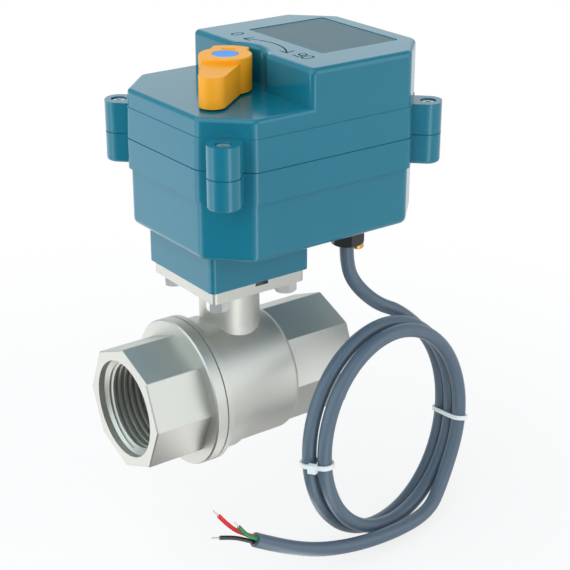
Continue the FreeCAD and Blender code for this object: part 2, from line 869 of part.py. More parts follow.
def dial_point(angle, radius=dial_radius):
    return radius * math.cos(math.radians(angle)), radius * math.sin(math.radians(angle))


def dial_marks():
    """Arc with an arrowhead at each end, a nought at the open end and a ninety at the closed end."""
    floor = block_top - dial_depth
    ring = tube(dial_radius + dial_line / 2, dial_radius - dial_line / 2, floor, block_top + 1)
    ends = [dial_point(angle, dial_radius * 2) for angle in (-dial_half_angle, dial_half_angle)]
    arc = ring.common(prism([(0, 0)] + ends, floor - 1, block_top + 2))
    marks = [arc]
    for side in (-1, 1):
        tip_x, tip_y = dial_point(side * dial_half_angle)
        along = math.radians(side * dial_half_angle + side * 90)
        for spread in (-1, 1):
            angle = along + math.pi + spread * math.radians(arrow_spread)
            marks.append(stroke(tip_x, tip_y, tip_x + arrow_length * math.cos(angle),
                                tip_y + arrow_length * math.sin(angle)))
    text_x = dial_radius * math.cos(math.radians(dial_half_angle)) + digit_height / 2
    pitch = digit_width + digit_gap
    open_y = dial_radius * math.sin(math.radians(dial_half_angle)) + nought_shift * digit_width
    close_y = -dial_radius * math.sin(math.radians(dial_half_angle)) - ninety_shift * digit_width
    marks.append(loop_stroke(text_x, open_y, digit_height, digit_width))
    marks += digit_nine(text_x, close_y)
    marks.append(loop_stroke(text_x, close_y - pitch, digit_height, digit_width))
    return joined(marks)


def make_cover_screw(x, y):
    """Cross-headed screw sunk in its lug."""
    head_top = step_height - cover_screw_sink
    head_bottom = head_top - cover_screw_head_height
    head = cylinder(cover_screw_head, head_bottom, head_top, x, y)
    head = round_level_edges(head, cover_screw_rounding, head_top)
    shank = cylinder(cover_screw_radius, head_bottom - cover_screw_length, head_bottom, x, y)
    return joined([head, shank]).cut(cross_recess(x, y, head_top, cover_screw_head))


def cross_recess(x, y, top, head_radius):
    """Two crossed slots in a screw head."""
    reach = head_radius * recess_reach_share
    half = reach * recess_half_share
    depth = reach * recess_depth_share
    one = box(x - reach, x + reach, y - half, y + half, top - depth, top + 1)
    two = box(x - half, x + half, y - reach, y + reach, top - depth, top + 1)
    return one.fuse(two)


# Lever

def lever_bottom():
    return deck_height + lever_gap


def lever_top():
    return lever_bottom() + lever_height


def at_rest(shape):
    """Turn a shape about the shaft so that its +X points where the pointer stands when the valve is open."""
    shape.rotate(ORIGIN, Z, lever_rest_angle)
    return shape


def make_lever():
    """Hand lever: round hub, tapered nose for the finger and a pointer lobe opposite."""
    low, high = lever_bottom(), lever_top()
    step = high - lever_step
    slope = math.asin((nose_root_half - nose_tip_radius) / nose_reach)
    tip_x = -nose_reach - nose_tip_radius * math.sin(slope)
    tip_y = nose_tip_radius * math.cos(slope)
    nose = prism([(0, -nose_root_half), (tip_x, -tip_y), (tip_x, tip_y), (0, nose_root_half)], low, step)
    nose = nose.fuse(cylinder(nose_tip_radius, low, step, -nose_reach, 0)).removeSplitter()
    hub = cylinder(hub_radius, low, high)
    lobe = box(0, lobe_reach, -lobe_half, lobe_half, low, high)
    lobe = round_upright_edges(lobe, lobe_corner, lambda p: p.x > lobe_reach - 0.1)
    lobe = lobe.common(cylinder(lobe_reach, low, high))
    lever = joined([hub, nose, lobe])
    lever = round_level_edges(lever, lever_rounding, high)
    mark_x = lever_cap_radius + lever_mark_from_cap
    mark = box(mark_x, mark_x + lever_mark_width, -lever_mark_length / 2, lever_mark_length / 2,
               high - lever_mark_depth, high + 1)
    lever = lever.cut(mark)
    seat = shaft_top() + resting_gap
    lever = lever.cut(flatted_bar(shaft_neck_radius + running_gap, shaft_neck_flat + running_gap, low - 1,
                                  seat))
    lever = lever.cut(cylinder(lever_screw_radius + screw_hole_gap, low, high))
    lever = lever.cut(cylinder(lever_cap_radius + running_gap, seat + lever_web, high + 1))
    return at_rest(lever)


def flatted_bar(radius, flat, start, end):
    """A round bar with two flats, each at a distance from the axis."""
    return cylinder(radius, start, end).common(box(-radius - 1, radius + 1, -flat, flat, start - 1, end + 1))


def shaft_top():
    return lever_top() - lever_cap_thickness - lever_screw_head_height - lever_web - lever_cap_gap


def make_lever_cap():
    """Coloured cap pressed into the top of the hub, over the screw."""
    high = lever_top() - lever_cap_sink
    cap = cylinder(lever_cap_radius, high - lever_cap_thickness, high)
    return at_rest(round_level_edges(cap, lever_cap_rounding, high))


def make_lever_screw():
    low = shaft_top() + resting_gap + lever_web
    head = cylinder(lever_screw_head, low, low + lever_screw_head_height)
    shank = cylinder(lever_screw_radius, low - lever_screw_length, low)
    screw = joined([head, shank]).cut(cross_recess(0, 0, low + lever_screw_head_height, lever_screw_head))
    return at_rest(screw)


def neck_seal_height():
    """The seal ring sits halfway up the boss under the deck."""
    return deck_height - wall - deck_boss_height / 2


# Gears

def flank_angle(radius, base, pitch, half_tooth):
    """Half the angle of an involute tooth at a radius."""
    def involute(r):
        angle = math.acos(min(1.0, base / r))
        return math.tan(angle) - angle
    return half_tooth + involute(pitch) - involute(max(radius, base))


def polar(radius, angle):
    return Vector(radius * math.cos(angle), radius * math.sin(angle), 0)


def gear_face(module, teeth, phase):
    """Flat outline of a spur gear with arcs for its flanks, tips and roots."""
    pitch = module * teeth / 2
    base = pitch * math.cos(math.radians(pressure_angle))
    tip = pitch + tip_share * module
    root = pitch - root_share * module
    half_tooth = (math.pi * module / 2 - backlash_share * module) / 2 / pitch
    at_root = min(flank_angle(root, base, pitch, half_tooth), math.pi / teeth * root_width_share)
    at_pitch = half_tooth
    at_tip = flank_angle(tip, base, pitch, half_tooth)
    step = 2 * math.pi / teeth
    edges = []
    for i in range(teeth):
        middle = phase + i * step
        following = middle + step
        rise = [polar(root, middle - at_root), polar(pitch, middle - at_pitch), polar(tip, middle - at_tip)]
        fall = [polar(tip, middle + at_tip), polar(pitch, middle + at_pitch), polar(root, middle + at_root)]
        edges.append(Part.Arc(*rise).toShape())
        edges.append(Part.Arc(rise[2], polar(tip, middle), fall[0]).toShape())
        edges.append(Part.Arc(*fall).toShape())
        gap_middle = polar(root, middle + step / 2)
        edges.append(Part.Arc(fall[2], gap_middle, polar(root, following - at_root)).toShape())
    return Part.Face(Part.Wire(edges))


def gear(module, teeth, phase, start, end):
    face = gear_face(module, teeth, phase)
    face.translate(Vector(0, 0, start))
    return face.extrude(Vector(0, 0, end - start))


def meshed_phase(bearing, teeth, phase, mate_teeth):
    """Where the mate's first tooth points so that its gap meets this gear's tooth along a bearing."""
    return bearing + math.pi - teeth / mate_teeth * (phase - bearing) + math.pi / mate_teeth


def axle_x():
    return sector_module * (sector_teeth + sector_pinion_teeth) / 2


def motor_x():
    return axle_x() + wheel_module * (wheel_teeth + wheel_pinion_teeth) / 2


def sector_top():
    return sector_bottom + sector_width


def wheel_bottom():
    return sector_top() + wheel_rise


def wheel_top():
    return wheel_bottom() + wheel_width


def make_sector_gear():
    """Part-toothed gear that turns the output shaft through a quarter turn."""
    whole = gear(sector_module, sector_teeth, 0.0, sector_bottom, sector_top())
    reach = sector_module * sector_teeth
    first, last = math.radians(sector_first_angle), math.radians(sector_last_angle)
    middle = (first + last) / 2
    wedge = prism([(0, 0)] + [(reach * math.cos(a), reach * math.sin(a)) for a in (first, middle, last)],
                  sector_bottom - 1, sector_top() + 1)
    hub = cylinder(shaft_mid_radius + sector_hub_wall, sector_bottom, sector_top())
    sector = joined([whole.common(wedge), hub])
    pitch = sector_module * sector_teeth / 2
    hole = pitch * sector_hole_place
    for angle in (first + (middle - first) / 2, middle, middle + (last - middle) / 2):
        centre = polar(hole, angle)
        sector = sector.cut(cylinder(pitch * sector_hole_share, sector_bottom - 1, sector_top() + 1,
                                     centre.x, centre.y))
    bore = flatted_bar(shaft_mid_radius + resting_gap, shaft_mid_radius - shaft_flat + resting_gap,
                       sector_bottom - 1, sector_top() + 1)
    return sector.cut(bore)


def make_intermediate_gear():
    """Compound gear: a large wheel driven by the motor and a pinion that drives the sector."""
    pinion_phase = meshed_phase(0.0, sector_teeth, 0.0, sector_pinion_teeth)
    pinion = gear(sector_module, sector_pinion_teeth, pinion_phase, sector_bottom - pinion_overhang,
                  wheel_bottom())
    wheel = gear(wheel_module, wheel_teeth, 0.0, wheel_bottom(), wheel_top())
    rim = wheel_module * wheel_teeth / 2
    recess = tube(rim - wheel_rim, sector_module * sector_pinion_teeth / 2 + wheel_hub_rim,
                  wheel_top() - wheel_recess, wheel_top() + 1)
    hub = cylinder(axle_radius + wheel_hub_wall, wheel_bottom(), wheel_top() + pinion_overhang)
    whole = joined([pinion, wheel.cut(recess), hub])
    whole = whole.cut(cylinder(axle_radius + running_gap, sector_bottom - 2, wheel_top() + 2))
    whole.translate(Vector(axle_x(), 0, 0))
    return whole


def make_motor_pinion():
    phase = meshed_phase(0.0, wheel_teeth, 0.0, wheel_pinion_teeth)
    pinion = gear(wheel_module, wheel_pinion_teeth, phase, wheel_bottom() - pinion_overhang,
                  wheel_top() + pinion_overhang)
    pinion = pinion.cut(cylinder(motor_shaft_radius + resting_gap, wheel_bottom() - 2, wheel_top() + 2))
    pinion.translate(Vector(motor_x(), 0, 0))
    return pinion


# Output shaft and frame

def make_output_shaft():
    """Stepped shaft from its square socket on the valve stem up through the deck into the lever."""
    shaft_bottom = stem_square_bottom + shaft_over_stem
    shoulder = lower_plate_bottom - shaft_step_gap
    upper_start = sector_top() + shaft_collar_height
    top_start = cam_bottom - shaft_step_gap
    lower = cylinder(shaft_radius, shaft_bottom, shoulder)
    middle = cylinder(shaft_mid_radius, shoulder, sector_bottom)
    seat = flatted_bar(shaft_mid_radius, shaft_mid_radius - shaft_flat, sector_bottom, upper_start)
    upper = cylinder(shaft_upper_radius, upper_start, top_start)
    clip = clip_height()
    neck_start = clip + clip_groove_width + shaft_end_width
    top = flatted_bar(shaft_top_radius, shaft_top_radius - shaft_flat, top_start, neck_start)
    neck = cylinder(shaft_neck_radius, neck_start, lever_bottom())
    drive = at_rest(flatted_bar(shaft_neck_radius, shaft_neck_flat, lever_bottom(), shaft_top()))
    shaft = joined([lower, middle, seat, upper, top, neck, drive])
    ring = neck_seal_height()
    half_groove = neck_ring_section * groove_half_share
    shaft = shaft.cut(tube(shaft_neck_radius + 1, shaft_neck_radius - neck_ring_section, ring - half_groove,
                           ring + half_groove))
    pilot = shaft_top() + lever_web - lever_screw_length - screw_tip_gap
    shaft = shaft.cut(cylinder(lever_screw_radius + resting_gap, pilot, shaft_top() + 1))
    socket = prism(polygon_points(4, stem_square + 2 * running_gap, 45), shaft_bottom - 1,
                   shaft_bottom + socket_depth)
    shaft = shaft.cut(socket)
    return shaft.cut(tube(shaft_top_radius + 1, shaft_top_radius - clip_groove_depth, clip,
                          clip + clip_groove_width))


def clip_height():
    return cam_bottom + cam_width + running_gap


def make_retaining_clip():
    """Open ring snapped into the groove above the cam."""
    low = clip_height() + running_gap
    inner = shaft_top_radius - clip_groove_depth + running_gap
    ring = tube(inner + clip_width, inner, low, low + clip_thickness)
    return ring.cut(box(0, inner + clip_width + 1, -clip_mouth / 2, clip_mouth / 2, low - 1,
                        low + clip_thickness + 1))


def make_base_bush():
    """Flanged bush that carries the output shaft in the housing floor."""
    outer = shaft_radius + bush_wall
    body = tube(outer, shaft_radius + running_gap, bush_bottom, bush_top)
    flange = tube(outer + bush_flange_reach, shaft_radius + running_gap, bush_top, bush_top + bush_flange)
    return joined([body, flange])


def make_shaft_seal():
    low = bush_bottom - resting_gap - shaft_seal_height
    return tube(shaft_radius + shaft_seal_wall + running_gap - resting_gap, shaft_radius + resting_gap,
                low, low + shaft_seal_height)


def make_upper_bush():
    """Flanged bush that carries the output shaft in the upper gear plate."""
    inner, outer = shaft_upper_radius + running_gap, shaft_upper_radius + plate_bush_wall
    top = upper_plate_bottom + plate_gauge
    body = tube(outer, inner, upper_plate_bottom, top)
    flange = tube(outer + plate_bush_wall, inner, top, top + plate_bush_flange)
    return joined([body, flange])


def frame_plate(bottom, right, cut):
    """Steel plate with its corners cut to clear the housing."""
    points = []
    for x, y, dx, dy in ((frame_left, -frame_half, frame_cut, frame_cut), (right, -frame_half, -cut, cut),
                         (right, frame_half, -cut, -cut), (frame_left, frame_half, frame_cut, -frame_cut)):
        ends = [(x, y + dy), (x + dx, y)]
        points += ends if dx * dy > 0 else ends[::-1]
    plate = round_upright_edges(prism(points, bottom, bottom + plate_gauge), frame_corner)
    for x, y in frame_posts():
        plate = plate.cut(cylinder(frame_screw_radius + screw_hole_gap, bottom - 1,
                                   bottom + plate_gauge + 1, x, y))
    return plate.cut(cylinder(axle_radius + resting_gap, bottom - 1, bottom + plate_gauge + 1, axle_x(), 0))


def make_lower_gear_plate():
    plate = frame_plate(lower_plate_bottom, frame_right, lower_frame_cut)
    return plate.cut(cylinder(shaft_mid_radius + running_gap, lower_plate_bottom - 1, sector_bottom))


def make_upper_gear_plate():
    low, high = upper_plate_bottom - 1, upper_plate_bottom + plate_gauge + 1
    plate = frame_plate(upper_plate_bottom, upper_frame_right, upper_frame_cut)
    plate = plate.cut(cylinder(shaft_upper_radius + plate_bush_wall + resting_gap, low, high))
    plate = plate.cut(cylinder(motor_boss_radius + open_gap, low, high, motor_x(), 0))
    for side in (-1, 1):
        plate = plate.cut(cylinder(motor_screw_radius + screw_hole_gap, low, high, motor_x(),
                                   side * motor_screw_spacing / 2))
    return plate


def make_spacer(x, y):
    return tube(spacer_radius, frame_screw_radius + screw_hole_gap, lower_plate_bottom + plate_gauge,
                upper_plate_bottom, x, y)


def make_frame_screw(x, y):
    top = upper_plate_bottom + plate_gauge
    shank = cylinder(frame_screw_radius, floor_top + pilot_floor + screw_tip_gap, top, x, y)
    head = cylinder(frame_screw_head, top, top + frame_screw_head_height, x, y)
    head = round_level_edges(head, frame_screw_rounding, top + frame_screw_head_height)
    return joined([head, shank]).cut(cross_recess(x, y, top + frame_screw_head_height, frame_screw_head))


def make_axle():
    return cylinder(axle_radius, lower_plate_bottom, upper_plate_bottom + plate_gauge, axle_x(), 0)


# Motor, cam, switches and board

def make_motor_gearbox():
    """Closed reduction gearbox under the motor, bolted to the upper plate."""
    low = upper_plate_bottom + plate_gauge
    case = cylinder(gearbox_radius, low, low + gearbox_length)
    case = round_level_edges(case, gearbox_rounding, low + gearbox_length)
    boss = cylinder(motor_boss_radius, upper_plate_bottom + motor_boss_step, low)
    whole = joined([case, boss])
    whole = whole.cut(cylinder(motor_shaft_radius + running_gap, 0, low + gearbox_length - 2))
    for side in (-1, 1):
        whole = whole.cut(cylinder(motor_screw_radius + resting_gap, low - 1,
                                   low + motor_screw_depth + screw_tip_gap, 0, side * motor_screw_spacing / 2))
    whole.translate(Vector(motor_x(), 0, 0))
    return whole


def motor_bottom():
    return upper_plate_bottom + plate_gauge + gearbox_length


def make_motor():
    """Motor can with its end bell and two solder tags."""
    low = motor_bottom()
    top = low + motor_length
    can = round_level_edges(cylinder(motor_radius, low, top), motor_rounding, top)
    bell = cylinder(motor_bell_radius, top, top + motor_bell_height)
    thick, wide, tall = motor_tag_size
    tags = [box(x - thick / 2, x + thick / 2, -wide / 2, wide / 2, top - 1, top + tall)
            for x in (-motor_tag_place, motor_tag_place)]
    motor = joined([can, bell] + tags)
    motor.translate(Vector(motor_x(), 0, 0))
    return motor


def make_motor_shaft():
    return cylinder(motor_shaft_radius, wheel_bottom() - motor_shaft_overhang,
                    motor_bottom() - motor_shaft_end_gap, motor_x(), 0)


def make_motor_screw(side):
    y = side * motor_screw_spacing / 2
    head = cylinder(motor_screw_head, upper_plate_bottom - motor_screw_head_height, upper_plate_bottom,
                    motor_x(), y)
    shank = cylinder(motor_screw_radius, upper_plate_bottom,
                     upper_plate_bottom + plate_gauge + motor_screw_depth, motor_x(), y)
    return joined([head, shank])


def make_limit_cam():
    """Cam on the output shaft whose lobe presses one switch at each end of the quarter turn."""
    low, high = cam_bottom, cam_bottom + cam_width
    half = math.radians(cam_lobe_angle / 2)
    reach = cam_lobe_radius / math.cos(half)
    lobe = prism([(0, 0), (reach * math.cos(half), -reach * math.sin(half)),
                  (reach * math.cos(half), reach * math.sin(half))], low, high)
    lobe = lobe.common(cylinder(cam_lobe_radius, low, high))
    cam = joined([cylinder(cam_radius, low, high), lobe])
    bore = flatted_bar(shaft_top_radius + resting_gap, shaft_top_radius - shaft_flat + resting_gap, low - 1,
                       high + 1)
    return cam.cut(bore)


def switch_front():
    return -cam_lobe_radius - switch_gap


def make_limit_switch(turn):
    """Small switch case on the upper plate, facing the cam, turned about the output shaft."""
    low = upper_plate_bottom + plate_gauge
    front = switch_front()
    back = front - switch_depth
    half = switch_length / 2
    case = box(-half, half, back, front, low, low + switch_height)
    upper = [edge for edge in case.Edges if edge.BoundBox.ZMin > low + switch_height - 0.01]
    case = case.makeChamfer(switch_chamfer, upper)
    wide, long, thick = switch_tag_size
    tag_low = low + switch_tag_height
    tags = [box(x - wide / 2, x + wide / 2, back - long, back + wide / 2, tag_low, tag_low + thick)
            for x in (-half + switch_tag_inset, 0, half - switch_tag_inset)]
    switch = joined([case] + tags)
    for x in (-half / 2, half / 2):
        switch = switch.cut(cylinder(switch_hole_radius, low - 1, low + switch_height + 1, x,
                                     back + switch_hole_inset))
    well = button_inside + button_travel + open_gap
    level = cam_bottom + cam_width / 2
    hole = Part.makeCylinder(button_radius + running_gap, well + 1, Vector(0, front - well, level), Y)
    switch = switch.cut(hole)
    switch.rotate(ORIGIN, Z, turn)
    return switch


def make_switch_button(turn):
    """Sprung button of a limit switch, just clear of the cam's lobe."""
    start = switch_front() - button_inside
    tip = -cam_lobe_radius - button_clearance
    button = Part.makeCylinder(button_radius, tip - start, Vector(0, start, cam_bottom + cam_width / 2), Y)
    button.rotate(ORIGIN, Z, turn)
    return button


def make_circuit_board():
    board = box(board_left, board_right, board_front, board_back, board_height, board_height + board_gauge)
    for x, y in board_post_places:
        board = board.cut(cylinder(frame_screw_radius + screw_hole_gap, board_height - 1,
                                   board_height + board_gauge + 1, x, y))
    return board


def make_board_screw(x, y):
    top = board_height + board_gauge
    head = cylinder(frame_screw_head, top, top + frame_screw_head_height, x, y)
    shank = cylinder(frame_screw_radius, floor_top + pilot_floor + screw_tip_gap, top, x, y)
    return joined([head, shank]).cut(cross_recess(x, y, top + frame_screw_head_height, frame_screw_head))


def terminal_slots():
    """Where the three wires enter the terminal block."""
    return [terminal_x + terminal_pitch * i for i in (-1, 0, 1)]


def make_wire_terminal():
    low = board_height + board_gauge
    front = board_front + board_edge
    depth, height = terminal_size
    top = low + height
    slots = terminal_slots()
    block = box(slots[0] - terminal_margin, slots[-1] + terminal_margin, front, front + depth, low, top)
    for x in slots:
        block = block.cut(cylinder(terminal_screw_radius, top - terminal_screw_depth, top + 1, x,
                                   front + terminal_screw_from_front))
    return block


def board_block(place, size):
    """A block standing on the board, placed from the board's left front corner."""
    corner = Vector(board_left + place[0], board_front + place[1], board_height + board_gauge)
    return Part.makeBox(*size, corner)


def make_capacitor():
    low = board_height + board_gauge
    can = cylinder(capacitor_radius, low, low + capacitor_height, board_left + capacitor_place[0],
                   board_front + capacitor_place[1])
    return round_level_edges(can, capacitor_rounding, low + capacitor_height)


# Cable gland and screw under the housing

def make_gland_body():
    """Threaded sleeve through the housing floor with a hexagon collar outside."""
    collar_low = base_bottom - gland_collar_height
    collar = hexagon(gland_collar_width, collar_low, base_bottom, 0, 0, gland_turn)
    thread = cylinder(gland_thread_radius, collar_low, floor_top + gland_length_inside)
    lower = cylinder(gland_thread_radius, gland_seat() + gland_seal_height, collar_low)
    body = joined([collar, thread, lower])
    body = body.cut(cylinder(cable_radius + gland_bore_gap, 0, floor_top + gland_length_inside + 1))
    body.translate(Vector(gland_x, gland_y, 0))
    return body


def gland_seat():
    """Height of the inner floor of the gland nut."""
    return gland_nut_bottom + gland_dome


def make_gland_seal():
    """Rubber sleeve that the nut squeezes round the cable."""
    low = gland_seat() + resting_gap
    high = gland_seat() + gland_seal_height - resting_gap
    return tube(gland_thread_radius - running_gap, cable_radius + resting_gap, low, high, gland_x, gland_y)


def make_gland_nut():
    """Domed hexagon nut at the foot of the gland."""
    low = gland_nut_bottom
    high = base_bottom - gland_collar_height - gland_nut_gap
    corner = gland_nut_width / 2 / math.cos(math.pi / 6)
    nut = hexagon(gland_nut_width, low, high, 0, 0, gland_turn)
    dome = round_level_edges(cylinder(corner, low, high), gland_dome + gland_dome_extra, low)
    nut = nut.common(dome)
    nut = nut.cut(cylinder(cable_radius + gland_nut_bore_gap, low - 1, high + 1))
    nut = nut.cut(cylinder(gland_thread_radius + running_gap, gland_seat(), high + 1))
    nut.translate(Vector(gland_x, gland_y, 0))
    return nut


def make_gland_lock_nut():
    low = floor_top
    nut = hexagon(lock_nut_width, low, low + lock_nut_height, 0, 0, gland_turn)
    nut = nut.cut(cylinder(gland_thread_radius + resting_gap, low - 1, low + lock_nut_height + 1))
    nut.translate(Vector(gland_x, gland_y, 0))
    return nut


def make_earth_screw():
    """Brass screw that stands down through the floor beside the gland."""
    low = base_bottom - earth_screw_reach
    top = floor_top + earth_nut_height + screw_tip_gap
    shank = cylinder(earth_screw_radius, low, top, earth_screw_x, earth_screw_y)
    foot = [edge for edge in shank.Edges if abs(edge.BoundBox.ZMax - low) < 1e-4]
    return shank.makeChamfer(earth_screw_chamfer, foot)


def make_earth_nut():
    low = floor_top
    nut = hexagon(earth_nut_width, low, low + earth_nut_height, 0, 0, earth_nut_turn)
    nut = nut.cut(cylinder(earth_screw_radius + resting_gap, low - 1, low + earth_nut_height + 1))
    nut.translate(Vector(earth_screw_x, earth_screw_y, 0))
    return nut


# Cable

def cable_entry():
    """Height of the cut end of the sheath inside the housing."""
    return floor_top + gland_length_inside + sheath_rise


def make_cable_stub():
    """The stretch of cable held in the gland."""
    return cylinder(cable_radius, gland_nut_bottom, cable_entry(), gland_x, gland_y)


def make_inner_wires():
    """Three wires from the end of the sheath to the terminal block."""
    wires = []
    bend = inner_wire_bend
    level = board_height + board_gauge + inner_wire_height
    end_y = board_front + board_edge
    for i, end_x in enumerate(terminal_slots()):
        start = Vector(gland_x + inner_wire_pitch * (i - 1), gland_y, cable_entry())
        end = Vector(end_x, end_y, level)
        over = Vector(end.x - start.x, end.y - start.y, 0)
        over.normalize()
        turn_low = Vector(start.x, start.y, level - bend)
        turn_middle = turn_low + over * (bend * (1 - math.sqrt(0.5))) + Z * (bend * math.sqrt(0.5))
        turn_high = turn_low + over * bend + Z * bend
        edges = [Part.LineSegment(start, turn_low).toShape(),
                 Part.Arc(turn_low, turn_middle, turn_high).toShape(),
                 Part.LineSegment(turn_high, end + over * 2 * wire_radius).toShape()]
        wire = swept(Part.Wire(edges), wire_radius)
        half = terminal_pitch
        wires.append(wire.cut(box(end_x - half, end_x + half, end_y, end_y + half, level - half, level + half)))
    return group(wires)


def swept(path, radius):
    """A round tube along a path of lines and arcs."""
    start = path.Edges[0]
    at = start.valueAt(start.FirstParameter)
    along = start.tangentAt(start.FirstParameter)
    profile = Part.Wire(Part.makeCircle(radius, at, along))
    return path.makePipeShell([profile], True, False)


def rounded_path(points):
    """Straight runs joined by tangent arcs, each as large as its two runs allow, with the arcs' radii."""
    edges, radii = [], []
    last = points[0]
    for before, corner, after in zip(points, points[1:], points[2:]):
        inward, outward = (before - corner), (after - corner)
        shorter = min(inward.Length, outward.Length)
        inward.normalize()
        outward.normalize()
        half_turn = (math.pi - inward.getAngle(outward)) / 2
        reach = 0.45 * shorter
        radius = reach / math.tan(half_turn)
        bisector = inward + outward
        bisector.normalize()
        middle = corner + bisector * (radius / math.cos(half_turn) - radius)
        start, end = corner + inward * reach, corner + outward * reach
        edges.append(Part.LineSegment(last, start).toShape())
        edges.append(Part.Arc(start, middle, end).toShape())
        radii.append(radius)
        last = end
    edges.append(Part.LineSegment(last, points[-1]).toShape())
    return Part.Wire(edges), radii


def make_cord(name, points, radius):
    """A free stretch of cable, with its bend radii and its volume against section times length."""
    path, radii = rounded_path(points)
    cord = swept(path, radius)
    runs = [(b - a).Length for a, b in zip(points, points[1:])]
    print(f"{name}: runs {' '.join(f'{run:.1f}' for run in runs)}; radii {' '.join(f'{r:.0f}' for r in radii)}")
    expected = math.pi * radius ** 2 * path.Length
    print(f"{name}: length {path.Length:.1f} mm, volume {cord.Volume:.1f} of {expected:.1f} mm3")
    return cord


def coil_axes():
    """Across the coil, up the coil and out of its plane."""
    bearing, lean = math.radians(coil_bearing), math.radians(coil_lean)
    across = Vector(math.cos(bearing), math.sin(bearing), 0)
    out = Vector(math.sin(bearing), -math.cos(bearing), 0)
    up = Z * math.cos(lean) + out * math.sin(lean)
    out = out * math.cos(lean) - Z * math.sin(lean)
    return across, up, out


def coil_point(angle):
    """A point of the coil at an angle in degrees, counted down from the top as the cable runs."""
    across, up, out = coil_axes()
    turns = -angle / 360.0
    radius = coil_radius - coil_shrink * turns
    a = math.radians(angle)
    return coil_middle + (across * math.cos(a) + up * math.sin(a)) * radius + out * (coil_pitch * turns)


def coil_direction(angle):
    """Direction in which the cable runs at an angle of the coil."""
    across, up, out = coil_axes()
    a = math.radians(angle)
    radius = coil_radius + coil_shrink * angle / 360.0
    growth = coil_shrink / (2 * math.pi)
    along = (across * math.sin(a) - up * math.cos(a)) * radius
    along = along - (across * math.cos(a) + up * math.sin(a)) * growth + out * (coil_pitch / (2 * math.pi))
    along.normalize()
    return along


def coil_angles():
    return [coil_start_angle - coil_quarter * i for i in range(coil_quarters + 1)]


def coil_end_angle():
    return coil_angles()[-1]


def coil_lead_start():
    """Where the free lead meets the coil's straight start."""
    return coil_point(coil_start_angle) - coil_direction(coil_start_angle) * 2 * cable_radius


def coil_tail_start():
    """Where the coil's straight end meets the free tail."""
    return coil_point(coil_end_angle()) + coil_direction(coil_end_angle()) * 2 * cable_radius


def biarc(start, start_way, end, end_way):
    """Two arcs that join two points with given directions."""
    chord = end - start
    both = start_way + end_way
    a = 2 * (1 - start_way.dot(end_way))
    b = 2 * chord.dot(both)
    c = -chord.dot(chord)
    reach = (-b + math.sqrt(b * b - 4 * a * c)) / (2 * a)
    near, far = start + start_way * reach, end - end_way * reach
    joint = (near + far) * 0.5
    return [tangent_arc(start, near, joint), tangent_arc(joint, far, end)]


def tangent_arc(start, corner, end):
    """The arc that touches both sides of a corner whose two sides are equally long."""
    inward, outward = start - corner, end - corner
    reach = inward.Length
    inward.normalize()
    outward.normalize()
    half_turn = (math.pi - inward.getAngle(outward)) / 2
    radius = reach / math.tan(half_turn)
    bisector = inward + outward
    bisector.normalize()
    return Part.Arc(start, corner + bisector * (radius / math.cos(half_turn) - radius), end).toShape()


def make_cable_coil():
    """Tied coil of the cable: turns that lie side by side, drawn in a little as they go."""
    angles = coil_angles()
    edges = [Part.LineSegment(coil_lead_start(), coil_point(angles[0])).toShape()]
    for first, second in zip(angles, angles[1:]):
        edges += biarc(coil_point(first), coil_direction(first), coil_point(second), coil_direction(second))
    edges.append(Part.LineSegment(coil_point(angles[-1]), coil_tail_start()).toShape())
    path = Part.Wire(edges)
    steps = [coil_start_angle - 3.0 * i for i in range(int(coil_quarter * coil_quarters / 3) + 1)]
    points = [coil_point(angle) for angle in steps]
    least = min((points[i] - points[j]).Length for i in range(len(points)) for j in range(i + 60, len(points)))
    print(f"cable_coil: length {path.Length:.1f} mm, least gap to itself {least - 2 * cable_radius:.2f} mm")
    coil = swept(path, cable_radius)
    print(f"cable_coil: volume {coil.Volume:.1f} of {math.pi * cable_radius ** 2 * path.Length:.1f} mm3")
    return coil


def lead_points():
    """Route of the cable from the gland to the coil."""
    start = coil_lead_start()
    way = coil_direction(coil_start_angle)
    gland = Vector(gland_x, gland_y, gland_nut_bottom)
    bends = [coil_middle + Vector(*bend) for bend in lead_bends]
    return [gland, gland - Z * lead_first_run] + bends + [start - way * lead_last_run, start]


def tail_points():
    """Route of the cable from the coil to its cut end."""
    start = coil_tail_start()
    way = coil_direction(coil_end_angle())
    return [start, start + way * tail_first_run] + [coil_middle + Vector(*bend) for bend in tail_bends]


def make_cable_tie(angle, first, last):
    """Nylon tie round neighbouring turns: a flat band with a square head on its outer side."""
    across, up, out = coil_axes()
    along = coil_direction(angle)
    centres = [coil_point(angle - 360.0 * i) for i in range(first, last + 1)]
    low, high = centres[0], centres[-1]
    row = high - low
    length = row.Length
    row.normalize()
    side = along.cross(row)
    side.normalize()
    along = row.cross(side)

    def slab(radius, width):
        middle = Part.makeBox(length, 2 * radius, width, Vector(0, -radius, -width / 2))
        ends = [Part.makeCylinder(radius, width, Vector(x, 0, -width / 2), Z) for x in (0, length)]
        return joined([middle] + ends)

    inner = cable_radius + tie_gap
    band = slab(inner + tie_thickness, tie_width).cut(slab(inner, tie_width + 2))
    head = Part.makeBox(tie_head, tie_head_height, tie_head,
                        Vector(length / 2 - tie_head / 2, inner + tie_head_sink, -tie_head / 2))
    outward = (centres[0] - coil_middle).dot(side)
    if outward < 0:
        head.rotate(Vector(length / 2, 0, 0), X, 180)
    tie = joined([band, head])
    placement = FreeCAD.Placement(low, FreeCAD.Rotation(row, side, along, "XYZ"))
    tie.Placement = placement
    return tie


